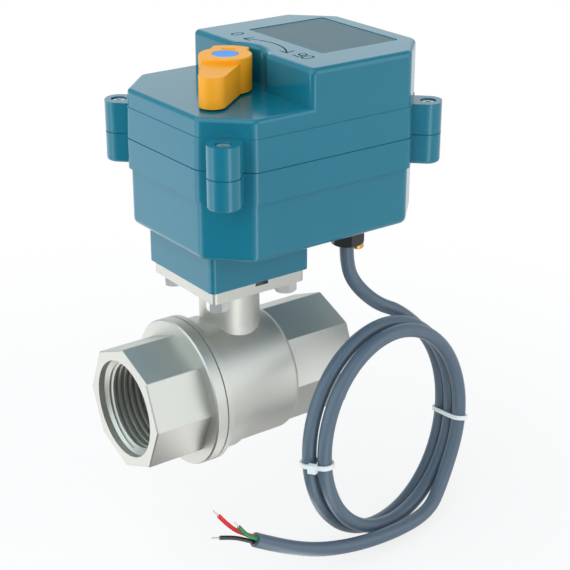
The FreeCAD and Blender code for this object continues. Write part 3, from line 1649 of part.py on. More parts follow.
def wire_routes():
    """Each wire from the cut end of the cable, as it fans out: its points as lengths along, up and aside."""
    return {"green_wire": [(0.0, 0.75, -0.85), (2.6, 0.75, -0.85), (6.4, 1.6, -1.3), (10.1, 3.3, -1.6)],
            "red_wire": [(0.0, 0.65, 0.85), (4.6, 0.65, 0.85), (10.4, 1.3, 1.5), (17.0, 4.1, 1.7)],
            "black_wire": [(0.0, -0.85, 0.0), (3.4, -0.85, 0.0), (8.8, -1.1, 0.2), (13.7, -2.4, 0.3)]}


def make_wire(name):
    """A stripped wire with its bare core, fused as one solid."""
    end = tail_points()[-1]
    way = end - tail_points()[-2]
    way.normalize()
    aside = way.cross(Z)
    aside.normalize()
    over = aside.cross(way)
    points = [end + way * a + over * b + aside * c for a, b, c in wire_routes()[name]]
    path, radii = rounded_path(points)
    print(f"{name}: length {path.Length:.1f} mm, radii {' '.join(f'{r:.1f}' for r in radii)}")
    tip_way = points[-1] - points[-2]
    tip_way.normalize()
    core_start = points[-1] - tip_way * core_overlap
    core = Part.makeCylinder(core_radius, core_length + core_overlap, core_start, tip_way)
    return joined([swept(path, wire_radius), core])


def main():
    os.makedirs("parts", exist_ok=True)
    save("valve_body", make_valve_body())
    save("inlet_connector", make_inlet_connector())
    save("body_seal", make_body_seal())
    save("ball", make_ball())
    save("inlet_seat", make_seat(-1))
    save("outlet_seat", make_seat(1))
    save("stem", make_stem())
    rings = [o_ring(stem_radius + resting_gap, o_ring_section, height) for height in stem_ring_heights]
    save("stem_seal_rings", group(rings))
    save("stem_thrust_washer", make_thrust_washer())
    save("mounting_bolts", group([make_mounting_bolt(x, y) for x, y in bolt_places()]))
    save("mounting_inserts", group([make_insert(x, y) for x, y in bolt_places()]))

    save("actuator_base", make_actuator_base())
    save("actuator_cover", make_cover())
    save("cover_gasket", gasket_ring(seam_height - gasket_height, seam_height, running_gap))
    save("cover_screws", group([make_cover_screw(x, y) for x, y, _ in boss_places()]))
    save("name_plate", name_plate_block(name_plate_depth, running_gap,
                                        block_top - name_plate_depth + name_plate_thickness))

    save("lever", make_lever())
    save("lever_cap", make_lever_cap())
    save("lever_screw", make_lever_screw())
    save("neck_seal_ring", o_ring(shaft_neck_radius + resting_gap, neck_ring_section, neck_seal_height()))

    save("output_shaft", make_output_shaft())
    save("shaft_clip", make_retaining_clip())
    save("shaft_bushes", group([make_base_bush(), make_upper_bush()]))
    save("shaft_seal", make_shaft_seal())
    save("lower_gear_plate", make_lower_gear_plate())
    save("upper_gear_plate", make_upper_gear_plate())
    save("frame_spacers", group([make_spacer(x, y) for x, y in frame_posts()]))
    inner_screws = [make_frame_screw(x, y) for x, y in frame_posts()]
    inner_screws += [make_board_screw(x, y) for x, y in board_post_places]
    inner_screws += [make_motor_screw(side) for side in (-1, 1)]
    save("inner_screws", group(inner_screws))

    save("sector_gear", make_sector_gear())
    save("intermediate_gear", make_intermediate_gear())
    save("intermediate_axle", make_axle())
    save("motor_pinion", make_motor_pinion())
    save("motor_shaft", make_motor_shaft())
    save("motor_gearbox", make_motor_gearbox())
    save("motor", make_motor())

    save("limit_cam", make_limit_cam())
    for name, turn in (("open", 90), ("closed", 0)):
        save(f"{name}_limit_switch", make_limit_switch(turn))
        save(f"{name}_switch_button", make_switch_button(turn))
    save("circuit_board", make_circuit_board())
    blocks = [board_block(relay_place, relay_size), board_block(chip_place, chip_size)]
    save("board_components", group([make_wire_terminal(), make_capacitor()] + blocks))
    save("inner_wires", make_inner_wires())

    save("gland_body", make_gland_body())
    save("gland_seal", make_gland_seal())
    save("gland_nut", make_gland_nut())
    save("gland_lock_nut", make_gland_lock_nut())
    save("earth_screw", group([make_earth_screw(), make_earth_nut()]))

    save("cable_stub", make_cable_stub())
    save("cable_lead", make_cord("cable_lead", lead_points(), cable_radius))
    save("cable_coil", make_cable_coil())
    save("cable_tail", make_cord("cable_tail", tail_points(), cable_radius))
    save("cable_ties", group([make_cable_tie(tie_angles[0], 0, 1), make_cable_tie(tie_angles[1], -1, 1)]))
    for name in wire_routes():
        save(name, make_wire(name))


main()
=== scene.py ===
# %% [markdown]
# A motorized ball valve: a nickel-plated two-piece valve below, a teal plastic actuator above, and
# a thin grey cable wound in a small tied coil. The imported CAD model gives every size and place.
# This file adds the camera, the light, the finishes, and the pieces whose form is softer or finer
# than the CAD solids.

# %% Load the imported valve
import bpy
import bmesh
import json
import math
from mathutils import Matrix, Vector


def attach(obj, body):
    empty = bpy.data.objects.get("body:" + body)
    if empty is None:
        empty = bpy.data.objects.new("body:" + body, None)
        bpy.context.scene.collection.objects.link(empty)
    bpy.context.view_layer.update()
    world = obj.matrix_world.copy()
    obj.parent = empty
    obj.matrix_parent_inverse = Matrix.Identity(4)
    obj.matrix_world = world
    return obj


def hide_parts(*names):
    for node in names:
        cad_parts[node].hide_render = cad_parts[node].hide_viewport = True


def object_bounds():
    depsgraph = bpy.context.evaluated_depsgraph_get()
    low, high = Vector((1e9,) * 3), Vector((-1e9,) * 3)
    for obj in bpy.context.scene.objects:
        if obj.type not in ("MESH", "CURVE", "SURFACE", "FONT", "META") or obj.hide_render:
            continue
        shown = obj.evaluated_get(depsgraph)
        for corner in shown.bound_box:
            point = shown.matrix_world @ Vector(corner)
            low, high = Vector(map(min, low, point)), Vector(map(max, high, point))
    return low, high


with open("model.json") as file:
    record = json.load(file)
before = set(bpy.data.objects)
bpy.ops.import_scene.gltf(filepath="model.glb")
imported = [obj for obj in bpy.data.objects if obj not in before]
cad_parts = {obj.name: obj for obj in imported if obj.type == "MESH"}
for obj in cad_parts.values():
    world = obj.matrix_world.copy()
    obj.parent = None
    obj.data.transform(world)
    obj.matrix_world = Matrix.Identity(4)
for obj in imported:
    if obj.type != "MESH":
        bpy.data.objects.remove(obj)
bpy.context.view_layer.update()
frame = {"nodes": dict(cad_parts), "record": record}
nodes = frame["nodes"]
millimetre = 0.001
print(len(nodes), "CAD nodes")

# %% [markdown]
# A product is photographed with a long lens, which keeps its upright edges almost parallel. The
# camera's place was worked out from the corners of the housing and of the octagons, so each of them
# falls on its own pixel.

# %% Camera
view = bpy.data.cameras.new("product_view")
view.lens = 91.47
view.sensor_width = 36.0
view.clip_start = 0.01
camera = bpy.data.objects.new("product_view", view)
camera.location = (-0.21837, -0.38663, 0.23290)
camera.rotation_euler = (math.radians(66.92), 0.0, math.radians(-36.13))
bpy.context.scene.collection.objects.link(camera)
bpy.context.scene.camera = camera
print("camera", round(camera.location.length / millimetre), "mm from the part's origin")

# %% [markdown]
# Shader maths reads best as plain expressions. A Flow wraps one output socket, and each operator
# adds the Math node that does the sum. Finish holds the nodes of one material, and its add method
# makes any other node: the node's own settings are set first, then the values and links of its
# sockets.

# %% Shader helpers
class Flow:
    """One output socket of a node, with arithmetic."""

    def __init__(self, finish, socket):
        self.finish, self.socket = finish, socket

    def math(self, operation, first, second):
        return self.finish.add("ShaderNodeMath", {0: first, 1: second}, operation=operation)

    def __add__(self, other):
        return self.math("ADD", self, other)

    def __radd__(self, other):
        return self.math("ADD", other, self)

    def __sub__(self, other):
        return self.math("SUBTRACT", self, other)

    def __rsub__(self, other):
        return self.math("SUBTRACT", other, self)

    def __mul__(self, other):
        return self.math("MULTIPLY", self, other)

    def __rmul__(self, other):
        return self.math("MULTIPLY", other, self)

    def __gt__(self, other):
        return self.math("GREATER_THAN", self, other)

    def __lt__(self, other):
        return self.math("LESS_THAN", self, other)


class Finish:
    """The nodes of one material, light or world."""

    def __init__(self, owner):
        owner.use_nodes = True
        self.owner, self.tree = owner, owner.node_tree
        self.tree.nodes.clear()

    def add(self, kind, sockets=(), output=0, stops=(), **settings):
        node = self.tree.nodes.new(kind)
        for name, value in settings.items():
            setattr(node, name, value)
        for i, (place, colour) in enumerate(stops):
            ramp = node.color_ramp.elements
            stop = ramp[i] if i < len(ramp) else ramp.new(place)
            stop.position, stop.color = place, (*colour, 1.0)
        for name, value in dict(sockets).items():
            socket = node.inputs[name]
            if isinstance(value, Flow):
                self.tree.links.new(value.socket, socket)
            elif isinstance(value, tuple) and socket.type == "RGBA":
                socket.default_value = (*value, 1.0)
            else:
                socket.default_value = value
        return Flow(self, node.outputs[output]) if node.outputs else node

    def place(self):
        """The point being shaded, in metres in the part's frame."""
        return self.add("ShaderNodeTexCoord", output="Object")

    def noise(self, size, detail=2.0, roughness=0.5):
        """Soft noise from 0 to 1 whose lumps are about that many metres across."""
        return self.add("ShaderNodeTexNoise", {"Vector": self.place(), "Scale": 1.0 / size,
                                               "Detail": detail, "Roughness": roughness}, output="Fac")

    def mix(self, share, first, second):
        """A colour between two colours."""
        return self.add("ShaderNodeMix", {0: share, 6: first, 7: second}, output=2, data_type="RGBA")

    def ramp(self, share, *stops):
        return self.add("ShaderNodeValToRGB", {"Fac": share}, stops=stops, output="Color")

    def bump(self, height, depth, strength=1.0, under=None):
        """A surface normal for relief of a depth in metres."""
        sockets = {"Height": height, "Distance": depth, "Strength": strength}
        if under is not None:
            sockets["Normal"] = under
        return self.add("ShaderNodeBump", sockets, output="Normal")

    def surface(self, **values):
        """The closing shader. Its sockets are named in lower case with underscores."""
        named = {}
        for name, value in values.items():
            named[name.replace("_", " ").title().replace("Ior", "IOR")] = value
        shader = self.add("ShaderNodeBsdfPrincipled", named)
        self.add("ShaderNodeOutputMaterial", {"Surface": shader})
        print("finish", self.owner.name, "of", len(self.tree.nodes), "nodes")
        return self.owner


def new_finish(name):
    return Finish(bpy.data.materials.new(name))


def display(red, green, blue):
    """A colour as a screen shows it, from 0 to 255, turned into the linear values that shaders take."""
    def linear(level):
        level = level / 255
        return level / 12.92 if level <= 0.04045 else ((level + 0.055) / 1.055) ** 2.4
    return linear(red), linear(green), linear(blue)


# %% [markdown]
# The housing is injection-moulded plastic: one even teal, smooth and fairly glossy. Up close a
# moulding is never quite flat or clean, so a long faint ripple, a fine grain and a little patchy
# gloss go into the normal and the roughness, and the colour drifts by a few percent. The arc and
# numbers beside the lever are cut into the cover, and the finish gives the cut lines a darker teal
# and a matt roughness. A picture of them could be laid on, but the lines are already in the solid,
# so the finish finds them by the depth and the place of the point.

# %% Moulded plastics
stem_x = 39.7
cover_top = max(corner[2] for corner in nodes["actuator_cover"].bound_box)
cut_line_depth = (0.0001, 0.00045)
cut_line_ahead = (0.013, 0.026)
cut_line_aside = 0.025
cove_reach = 0.0192


def dial_marks(finish):
    """One in the dial's engraved lines and nought everywhere else."""
    place = finish.place()
    x, y, z = [finish.add("ShaderNodeSeparateXYZ", {"Vector": place}, output=axis) for axis in "XYZ"]
    ahead = x - stem_x * millimetre
    cut = (z > cover_top - cut_line_depth[1]) * (z < cover_top - cut_line_depth[0])
    beside_lever = (ahead > cut_line_ahead[0]) * (ahead < cut_line_ahead[1]) * (y * y < cut_line_aside ** 2)
    return cut * beside_lever * (ahead * ahead + y * y > cove_reach ** 2)


def moulded(name, colour, gloss, cut_line_colour=None):
    """A moulded plastic. Its gloss is a roughness, and the last argument, if given, is the darker colour of
    the dial's cut lines.
    """
    finish = new_finish(name)
    patch_size, grain_size, ripple_length = 0.03, 0.0004, 0.012
    grain_depth, ripple_depth = 0.000004, 0.00001
    drift, cut_line_roughness = 0.06, 0.6
    patches = finish.noise(patch_size, 3.0)
    grain = finish.noise(grain_size, 2.0)
    lighter = tuple(min(1.0, level * (1 + drift)) for level in colour)
    darker = tuple(level * (1 - drift) for level in colour)
    relief = finish.bump(finish.noise(ripple_length, 1.0), ripple_depth)
    relief = finish.bump(grain, grain_depth, under=relief)
    shade = finish.mix(patches, darker, lighter)
    dullness = gloss + 0.08 * (patches - 0.5) + 0.04 * (grain - 0.5)
    # The dial's cut lines get a darker teal and a matt roughness.
    if cut_line_colour is not None:
        marks = dial_marks(finish)
        shade, dullness = finish.mix(marks, shade, cut_line_colour), dullness + cut_line_roughness * marks
    return finish.surface(base_color=shade, roughness=dullness, normal=relief, ior=1.5)


housing_plastic = moulded("housing_plastic", display(12, 116, 139), 0.15, cut_line_colour=display(2, 46, 62))
lever_plastic = moulded("lever_plastic", display(253, 167, 0), 0.44)
cap_plastic = moulded("cap_plastic", display(30, 150, 248), 0.46)
button_plastic = moulded("button_plastic", display(190, 40, 32), 0.3)
gear_polymer = moulded("gear_polymer", display(232, 226, 208), 0.48)
seat_polymer = moulded("seat_polymer", display(238, 238, 232), 0.5)
black_plastic = moulded("black_plastic", display(30, 30, 33), 0.42)
tie_nylon = moulded("tie_nylon", display(240, 243, 243), 0.38)

# %% [markdown]
# The valve is forged brass with a satin nickel plate. The skin has a fine, even grain and drifts a
# little between two greys. The cut faces at the ends carry faint turning rings, which follow from
# the point's distance from the pipe's axis, because the pipe lies along X through the origin.

# %% Nickel plate
def around_pipe(finish):
    """Distance from the pipe axis, in metres."""
    flat = finish.add("ShaderNodeVectorMath", {0: finish.place(), 1: (0.0, 1.0, 1.0)}, operation="MULTIPLY")
    return finish.add("ShaderNodeVectorMath", {0: flat}, output="Value", operation="LENGTH")


nickel = new_finish("nickel_plate")
skin_size, cloud_size, ring_pitch = 0.00045, 0.018, 0.00035
skin_depth, ring_depth = 0.00002, 0.0000012
skin = nickel.noise(skin_size, 3.0, 0.6)
clouds = nickel.noise(cloud_size, 3.0)
rings = nickel.add("ShaderNodeMath", {0: around_pipe(nickel) * (math.tau / ring_pitch)}, operation="SINE")
grain = nickel.bump(skin, skin_depth, 0.6)
grain = nickel.bump(rings, ring_depth, under=grain)
nickel_plate = nickel.surface(
    base_color=nickel.mix(clouds, display(192, 193, 188), display(206, 207, 201)), metallic=1.0,
    roughness=0.42 + 0.08 * clouds + 0.05 * skin, normal=grain)

# %% [markdown]
# The other metals are small: zinc-plated screws and plates, ground shafts, bare brass and the
# chromed ball. They differ only in colour, polish and wear, so one function gives them all, with a
# brushed grain along one axis and a little tarnish in patches.

# %% Small metals
def bare_metal(name, colour, roughness, tarnish=0.15, brushed=0.0000015):
    """A bare or thinly plated metal, with streaks that are long along Z and narrow across it."""
    finish = new_finish(name)
    streak_width, streak_length, patch_size = 0.00025, 0.004, 0.004
    per_metre = (1 / streak_width, 1 / streak_width, 1 / streak_length)
    streaks = finish.add("ShaderNodeVectorMath", {0: finish.place(), 1: per_metre}, operation="MULTIPLY")
    streaks = finish.add("ShaderNodeTexNoise", {"Vector": streaks, "Scale": 1.0, "Detail": 2.0},
                         output="Fac")
    patches = finish.noise(patch_size, 3.0)
    dull = tuple(level * (1 - tarnish) for level in colour)
    return finish.surface(base_color=finish.mix(patches, dull, colour), metallic=1.0,
                          roughness=roughness + 0.12 * (patches - 0.5) + 0.06 * streaks,
                          normal=finish.bump(streaks, brushed))


bright_steel = bare_metal("bright_steel", display(232, 234, 235), 0.42)
shaft_steel = bare_metal("shaft_steel", display(196, 198, 201), 0.22)
chrome_plate = bare_metal("chrome_plate", display(226, 228, 230), 0.08, 0.05, 0.0)
bare_brass = bare_metal("bare_brass", display(220, 180, 105), 0.26, 0.25)
tinned_copper = bare_metal("tinned_copper", display(222, 222, 220), 0.25, 0.1)

# %% [markdown]
# The name plate is a thin grey label, left bare. Rubber rings are matt and a little dusty. The
# circuit board is lacquered laminate whose glass cloth shows faintly, as two sets of waves that
# cross.

# %% Name plate, rubber and board
def sheet_weave(finish, pitch):
    """Crossed waves of a glass cloth, from 0 to 1."""
    waves_at_scale_one = 3.2
    waves = {"Scale": 1.0 / pitch / waves_at_scale_one, "Distortion": 0.6}
    across, along = [finish.add("ShaderNodeTexWave", {"Vector": finish.place(), **waves}, output="Fac",
                                bands_direction=axis) for axis in "XY"]
    return 0.5 * across + 0.5 * along


fine_grain = 0.0003
label = new_finish("plate_grey")
haze = label.noise(0.01, 3.0)
plate_grey = label.surface(base_color=label.mix(haze, display(52, 92, 104), display(66, 108, 120)),
                           roughness=0.40 + 0.1 * haze,
                           normal=label.bump(label.noise(fine_grain), 0.000004))

ring = new_finish("seal_rubber")
dust = ring.noise(0.003, 4.0)
seal_rubber = ring.surface(base_color=ring.mix(dust, display(26, 26, 28), display(44, 44, 46)),
                           roughness=0.62 + 0.15 * dust, normal=ring.bump(ring.noise(fine_grain), 0.00001))

board = new_finish("board_laminate")
weave = sheet_weave(board, 0.0008)
board_laminate = board.surface(base_color=board.mix(weave, display(18, 78, 42), display(34, 104, 60)),
                               roughness=0.3 + 0.1 * weave, normal=board.bump(weave, 0.00001))

# %% [markdown]
# The cable has a soft, smooth sheath with a satin gloss. It picks up scuffs and lint, which break
# up the gloss, and very long shallow waves remain in it from the drum.

# %% Cable sheath and wire insulation
def sheath(name, colour, roughness=0.36):
    """A soft sheath with scuffs, a fine grain and shallow waves."""
    finish = new_finish(name)
    scuff_size, grain_size, wave_length = 0.006, 0.0005, 0.008
    grain_depth, wave_depth = 0.000006, 0.00008
    scuffs = finish.noise(scuff_size, 4.0, 0.65)
    grain = finish.noise(grain_size, 2.0)
    lighter = tuple(min(1.0, level * 1.12) for level in colour)
    darker = tuple(level * 0.9 for level in colour)
    relief = finish.bump(finish.noise(wave_length, 1.0), wave_depth)
    return finish.surface(base_color=finish.mix(scuffs, darker, lighter),
                          roughness=roughness + 0.14 * (scuffs - 0.5) + 0.05 * (grain - 0.5),
                          normal=finish.bump(grain, grain_depth, under=relief), ior=1.5)


cable_sheath = sheath("cable_sheath", display(86, 103, 119))
red_insulation = sheath("red_insulation", display(236, 20, 22), 0.4)
green_insulation = sheath("green_insulation", display(16, 128, 62), 0.3)
black_insulation = sheath("black_insulation", display(26, 26, 28), 0.3)

# %% [markdown]
# The castings, mouldings and screws are hard and exact, and their solids already have the form of
# the real pieces. A second mesh of them would add nothing, so these CAD nodes are shown as they are.
# Every node gets the finish of its material slot in the record. Only the cable and its wires are
# drawn anew further down.

# %% Finish every CAD node
finishes = {"housing_plastic": housing_plastic, "lever_plastic": lever_plastic,
            "cap_plastic": cap_plastic, "nickel_plate": nickel_plate, "chrome_plate": chrome_plate,
            "seat_polymer": seat_polymer, "seal_rubber": seal_rubber, "bright_steel": bright_steel,
            "shaft_steel": shaft_steel, "bare_brass": bare_brass, "gear_polymer": gear_polymer,
            "plate_grey": plate_grey, "black_plastic": black_plastic,
            "button_plastic": button_plastic, "board_laminate": board_laminate,
            "cable_sheath": cable_sheath, "tie_nylon": tie_nylon, "red_insulation": red_insulation,
            "green_insulation": green_insulation, "black_insulation": black_insulation}
slots = {piece["node"]: piece["material_slot"] for piece in frame["record"]["subparts"]}
for name, node in nodes.items():
    node.data.materials.clear()
    node.data.materials.append(finishes[slots[name]])
print({slot: list(slots.values()).count(slot) for slot in finishes})

# %% [markdown]
# The cable leaves the gland, drops into a small coil of just over two turns and ends cut off,
# stripped to three wires. A real cable bends in one smooth line, so it is one NURBS spline. The
# points of its free ends follow the picture, and a loop gives the coil's turns, each a little
# smaller and beside the last. The spline cuts inside its control points, so the coil's points are
# set out by the same share.

# %% Cable route
cable_radius = 2.5
coil_middle = Vector((stem_x + 36.3, -37.8, -14.0))
coil_bearing, coil_lean = math.radians(10.4), math.radians(-6.0)
coil_radius, coil_shrink, coil_pitch = 38.34, 1.76, 5.38
coil_start = 46.1
coil_end = coil_start - 801.0
coil_steps = 30
gland_foot = Vector((stem_x + 35.4, -20.93, 49.13))
coil_overlap = 2 * cable_radius
gland_run, lead_run, tail_run = 7.9, 7.2, 8.8

across = Vector((math.cos(coil_bearing), math.sin(coil_bearing), 0.0))
outward = Vector((math.sin(coil_bearing), -math.cos(coil_bearing), 0.0))
upright = Vector((0.0, 0.0, 1.0))
up = upright * math.cos(coil_lean) + outward * math.sin(coil_lean)
aside = outward * math.cos(coil_lean) - upright * math.sin(coil_lean)


def coil_point(angle, spread=1.0):
    """A point of the coil at an angle in degrees, which falls as the cable runs."""
    turns, a = -angle / 360.0, math.radians(angle)
    radius = (coil_radius - coil_shrink * turns) * spread
    return coil_middle + (across * math.cos(a) + up * math.sin(a)) * radius + aside * coil_pitch * turns


def coil_way(angle):
    """Which way the cable runs at an angle of the coil."""
    return (coil_point(angle - 0.5) - coil_point(angle + 0.5)).normalized()


step = (coil_start - coil_end) / coil_steps
spread = 1.0 / (0.75 + 0.25 * math.cos(math.radians(step)))
turn_points = [coil_point(coil_start - step * (i + 0.5), spread) for i in range(coil_steps)]
coil_first = coil_point(coil_start) - coil_way(coil_start) * coil_overlap
coil_last = coil_point(coil_end) + coil_way(coil_end) * coil_overlap
lead = [gland_foot, gland_foot - upright * gland_run, Vector((stem_x + 37.7, -23.2, 33.6)),
        Vector((stem_x + 43.7, -28.3, 26.5)), coil_first - coil_way(coil_start) * lead_run]
tail = [coil_last + coil_way(coil_end) * tail_run, Vector((stem_x + 50.1, -52.4, -49.3)),
        Vector((stem_x + 33.0, -55.6, -48.9)), Vector((stem_x + 15.0, -56.0, -47.5)),
        Vector((stem_x - 1.7, -55.4, -43.8)), Vector((stem_x - 15.7, -54.3, -37.7)),
        Vector((stem_x - 27.1, -53.5, -30.8))]
route = lead + turn_points + tail


def spline_curve(name, points, radius):
    """A round tube on one open NURBS spline. Points and radius are in millimetres."""
    data = bpy.data.curves.new(name, "CURVE")
    data.dimensions = "3D"
    line = data.splines.new("NURBS")
    line.points.add(len(points) - 1)
    for control, point in zip(line.points, points):
        control.co = (*(point * millimetre), 1.0)
    line.order_u = 3
    line.use_endpoint_u = True
    line.resolution_u = 8
    data.bevel_depth = radius * millimetre
    data.bevel_resolution = 6
    data.use_fill_caps = True
    piece = bpy.data.objects.new(name, data)
    bpy.context.scene.collection.objects.link(piece)
    return piece


cable = spline_curve("supply_cable", route, cable_radius)
cable.data.materials.append(cable_sheath)
line = cable.data.splines[0]
print("cable of", len(route), "points,", round(line.calc_length() / millimetre, 1), "mm long")

# %% [markdown]
# Three wires come out of the cut sheath and fan apart. Each is a short spline too. Its points are
# lengths in millimetres along the cable's end, over it and to one side of it, so the wires follow
# the end.

# %% Wires
wire_radius = 0.72
cut_end = tail[-1]
end_way = (tail[-1] - tail[-2]).normalized()
end_side = end_way.cross(upright).normalized()
end_over = end_side.cross(end_way)
wire_fans = {"green_wire": ((-1.5, 0.75, -0.85), (2.6, 0.75, -0.85), (6.4, 1.6, -1.3), (10.1, 3.3, -1.6)),
             "red_wire": ((-1.5, 0.65, 0.85), (4.6, 0.65, 0.85), (10.4, 1.3, 1.5), (17.0, 4.1, 1.7)),
             "black_wire": ((-1.5, -0.85, 0.0), (3.4, -0.85, 0.0), (8.8, -1.1, 0.2), (13.7, -2.4, 0.3))}


def fan_point(along, over, side):
    return cut_end + end_way * along + end_over * over + end_side * side


def as_mesh(piece, name):
    """A plain mesh object with a piece's evaluated shape, in place of the piece."""
    bpy.context.view_layer.update()
    shape = bpy.data.meshes.new_from_object(piece.evaluated_get(bpy.context.evaluated_depsgraph_get()))
    shape.transform(piece.matrix_world)
    bpy.data.objects.remove(piece)
    shape.name = name
    solid = bpy.data.objects.new(name, shape)
    bpy.context.scene.collection.objects.link(solid)
    print(name, "has", len(shape.polygons), "faces")
    return solid


def smooth_shaded(piece, angle):
    """Smooth shading, but for the edges that turn more sharply than the angle."""
    piece.data.shade_smooth()
    piece.data.set_sharp_from_angle(angle=math.radians(angle))
    return piece


wires = {}
for name, fan in wire_fans.items():
    wire = spline_curve(name + "_insulation", [fan_point(*point) for point in fan], wire_radius)
    wires[name] = as_mesh(wire, name + "_insulation")
    wires[name].data.materials.append(finishes[slots[name]])
    smooth_shaded(wires[name], 50.0)

# %% [markdown]
# Geometry Nodes make what repeats or follows a rule. The helper below builds such a tree in the
# script, with a named input for each size, and turns the result into a plain mesh, because the
# export drops instances.

# %% Geometry Nodes helpers
class Growth:
    """A Geometry Nodes tree that is built in the script."""

    def __init__(self, name, **sizes):
        self.tree = bpy.data.node_groups.new(name, "GeometryNodeTree")
        face = self.tree.interface
        face.new_socket("Geometry", in_out="INPUT", socket_type="NodeSocketGeometry")
        face.new_socket("Geometry", in_out="OUTPUT", socket_type="NodeSocketGeometry")
        self.identifiers = {}
        for size, value in sizes.items():
            kind = "NodeSocketInt" if isinstance(value, int) else "NodeSocketFloat"
            socket = face.new_socket(size, in_out="INPUT", socket_type=kind)
            self.identifiers[size] = socket.identifier
        self.sizes = sizes
        self.entry = self.tree.nodes.new("NodeGroupInput")
        self.exit = self.tree.nodes.new("NodeGroupOutput")

    def __getitem__(self, size):
        return self.entry.outputs[size]

    def add(self, kind, sockets=(), output=0, **settings):
        """Add one node: its settings first, then the values and links of its sockets."""
        node = self.tree.nodes.new(kind)
        for name, value in settings.items():
            setattr(node, name, value)
        for name, value in dict(sockets).items():
            if isinstance(value, bpy.types.NodeSocket):
                self.tree.links.new(value, node.inputs[name])
            elif isinstance(value, list):
                for source in value:
                    self.tree.links.new(source, node.inputs[name])
            else:
                node.inputs[name].default_value = value
        return node.outputs[output]

    def sum(self, operation, first, second):
        return self.add("ShaderNodeMath", {0: first, 1: second}, operation=operation)

    def along_z(self, value):
        return self.add("ShaderNodeCombineXYZ", {"Z": value})

    def grow(self, name, finish, geometry):
        """Close the tree, give it its sizes and return its plain mesh."""
        whole = self.add("GeometryNodeRealizeInstances", {"Geometry": geometry})
        whole = self.add("GeometryNodeSetMaterial", {"Geometry": whole, "Material": finish})
        self.tree.links.new(whole, self.exit.inputs[0])
        piece = bpy.data.objects.new(name, bpy.data.meshes.new(name))
        bpy.context.scene.collection.objects.link(piece)
        modifier = piece.modifiers.new("growth", "NODES")
        modifier.node_group = self.tree
        for size, value in self.sizes.items():
            modifier[self.identifiers[size]] = value
        return as_mesh(piece, name)


def frame_matrix(origin, x_way, y_way, scale):
    """A matrix that puts a piece's X and Y along two directions and its origin at a point in metres."""
    z_way = x_way.cross(y_way)
    columns = Matrix((x_way * scale, y_way * scale, z_way * scale)).transposed().to_4x4()
    columns.translation = origin
    return columns


# %% [markdown]
# The stripped tips are fine tinned strands twisted together. Each strand could be a curve of its
# own, but a bundle only repeats one strand round its middle. So one spiral tube is set on points at
# the same place, each turned by an equal share of a turn, round a straight strand. The sizes are in
# millimetres, and the bundle is made once and copied to each wire.

# %% Wire tips
strand = Growth("twisted_tip", Strands=6, Length=3.6, Radius=0.28, Twists=1.5)
tip_overlap = 0.4
thin = strand.sum("DIVIDE", strand["Radius"], 3.0)
swing = strand.sum("SUBTRACT", strand["Radius"], thin)
spiral = strand.add("GeometryNodeCurveSpiral", {"Resolution": 24, "Rotations": strand["Twists"],
                                                "Start Radius": swing, "End Radius": swing,
                                                "Height": strand["Length"]})
ring = strand.add("GeometryNodeCurvePrimitiveCircle", {"Resolution": 8, "Radius": thin})
wound = strand.add("GeometryNodeCurveToMesh", {"Curve": spiral, "Profile Curve": ring, "Fill Caps": True})
spots = strand.add("GeometryNodePoints", {"Count": strand["Strands"]})
share = strand.sum("DIVIDE", math.tau, strand["Strands"])
turn = strand.sum("MULTIPLY", strand.add("GeometryNodeInputIndex"), share)
bundle = strand.add("GeometryNodeInstanceOnPoints", {"Points": spots, "Instance": wound,
                                                     "Rotation": strand.along_z(turn)})
middle = strand.add("GeometryNodeCurvePrimitiveLine", {"End": strand.along_z(strand["Length"])})
middle = strand.add("GeometryNodeCurveToMesh", {"Curve": middle, "Profile Curve": ring, "Fill Caps": True})
bundle = strand.add("GeometryNodeJoinGeometry", {"Geometry": [bundle, middle]})
twisted = strand.grow("twisted_tip", tinned_copper, bundle)
tips = []
for name, fan in wire_fans.items():
    end, before = fan_point(*fan[-1]), fan_point(*fan[-2])
    way = (end - before).normalized()
    side = way.cross(upright).normalized()
    tip = twisted.copy()
    tip.data = twisted.data.copy()
    foot = (end - way * tip_overlap) * millimetre
    tip.data.transform(frame_matrix(foot, side, way.cross(side), millimetre))
    tip.name = name.replace("wire", "tip")
    bpy.context.scene.collection.objects.link(tip)
    tips.append(smooth_shaded(tip, 60.0))
bpy.data.objects.remove(twisted)

# %% [markdown]
# The new pieces ride on the valve's fixed body and stand for the plain CAD solids of the same parts,
# which are hidden.

# %% Cable pieces on the fixed body
for name, wire in wires.items():
    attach(wire, "root")
    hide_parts(name)
for tip in tips:
    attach(tip, "root")
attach(cable, "root")
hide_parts("cable_lead", "cable_coil", "cable_tail")
print("the cable carries", len(wires), "wires,", len(tips), "tips and its ties")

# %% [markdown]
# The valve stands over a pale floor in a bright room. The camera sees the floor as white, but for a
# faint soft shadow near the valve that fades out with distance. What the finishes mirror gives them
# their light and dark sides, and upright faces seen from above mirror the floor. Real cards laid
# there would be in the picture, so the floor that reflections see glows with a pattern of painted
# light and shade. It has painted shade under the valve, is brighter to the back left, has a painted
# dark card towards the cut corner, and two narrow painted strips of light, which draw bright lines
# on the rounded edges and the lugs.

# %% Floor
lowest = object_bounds()[0][2]
valve_foot = (0.04, 0.0, lowest)
floor_gap = 0.0005
shape = bmesh.new()
bmesh.ops.create_grid(shape, x_segments=1, y_segments=1, size=3.0)
floor_mesh = bpy.data.meshes.new("studio_floor")
shape.to_mesh(floor_mesh)
shape.free()
floor_mesh.transform(Matrix.Translation(Vector(valve_foot) - upright * floor_gap))
floor = bpy.data.objects.new("studio_floor", floor_mesh)
bpy.context.scene.collection.objects.link(floor)
paper = new_finish("studio_paper")
where = paper.add("ShaderNodeVectorMath", {0: paper.place(), 1: valve_foot}, operation="SUBTRACT")
reach = paper.add("ShaderNodeVectorMath", {0: where}, output="Value", operation="LENGTH")
away = paper.add("ShaderNodeVectorMath", {0: where}, operation="NORMALIZE")
cut_corner, back_left = (-0.883, -0.469, 0.0), (-0.59, 0.81, 0.0)
front, inlet_side = (-0.139, -0.990, 0.0), (-0.990, 0.139, 0.0)


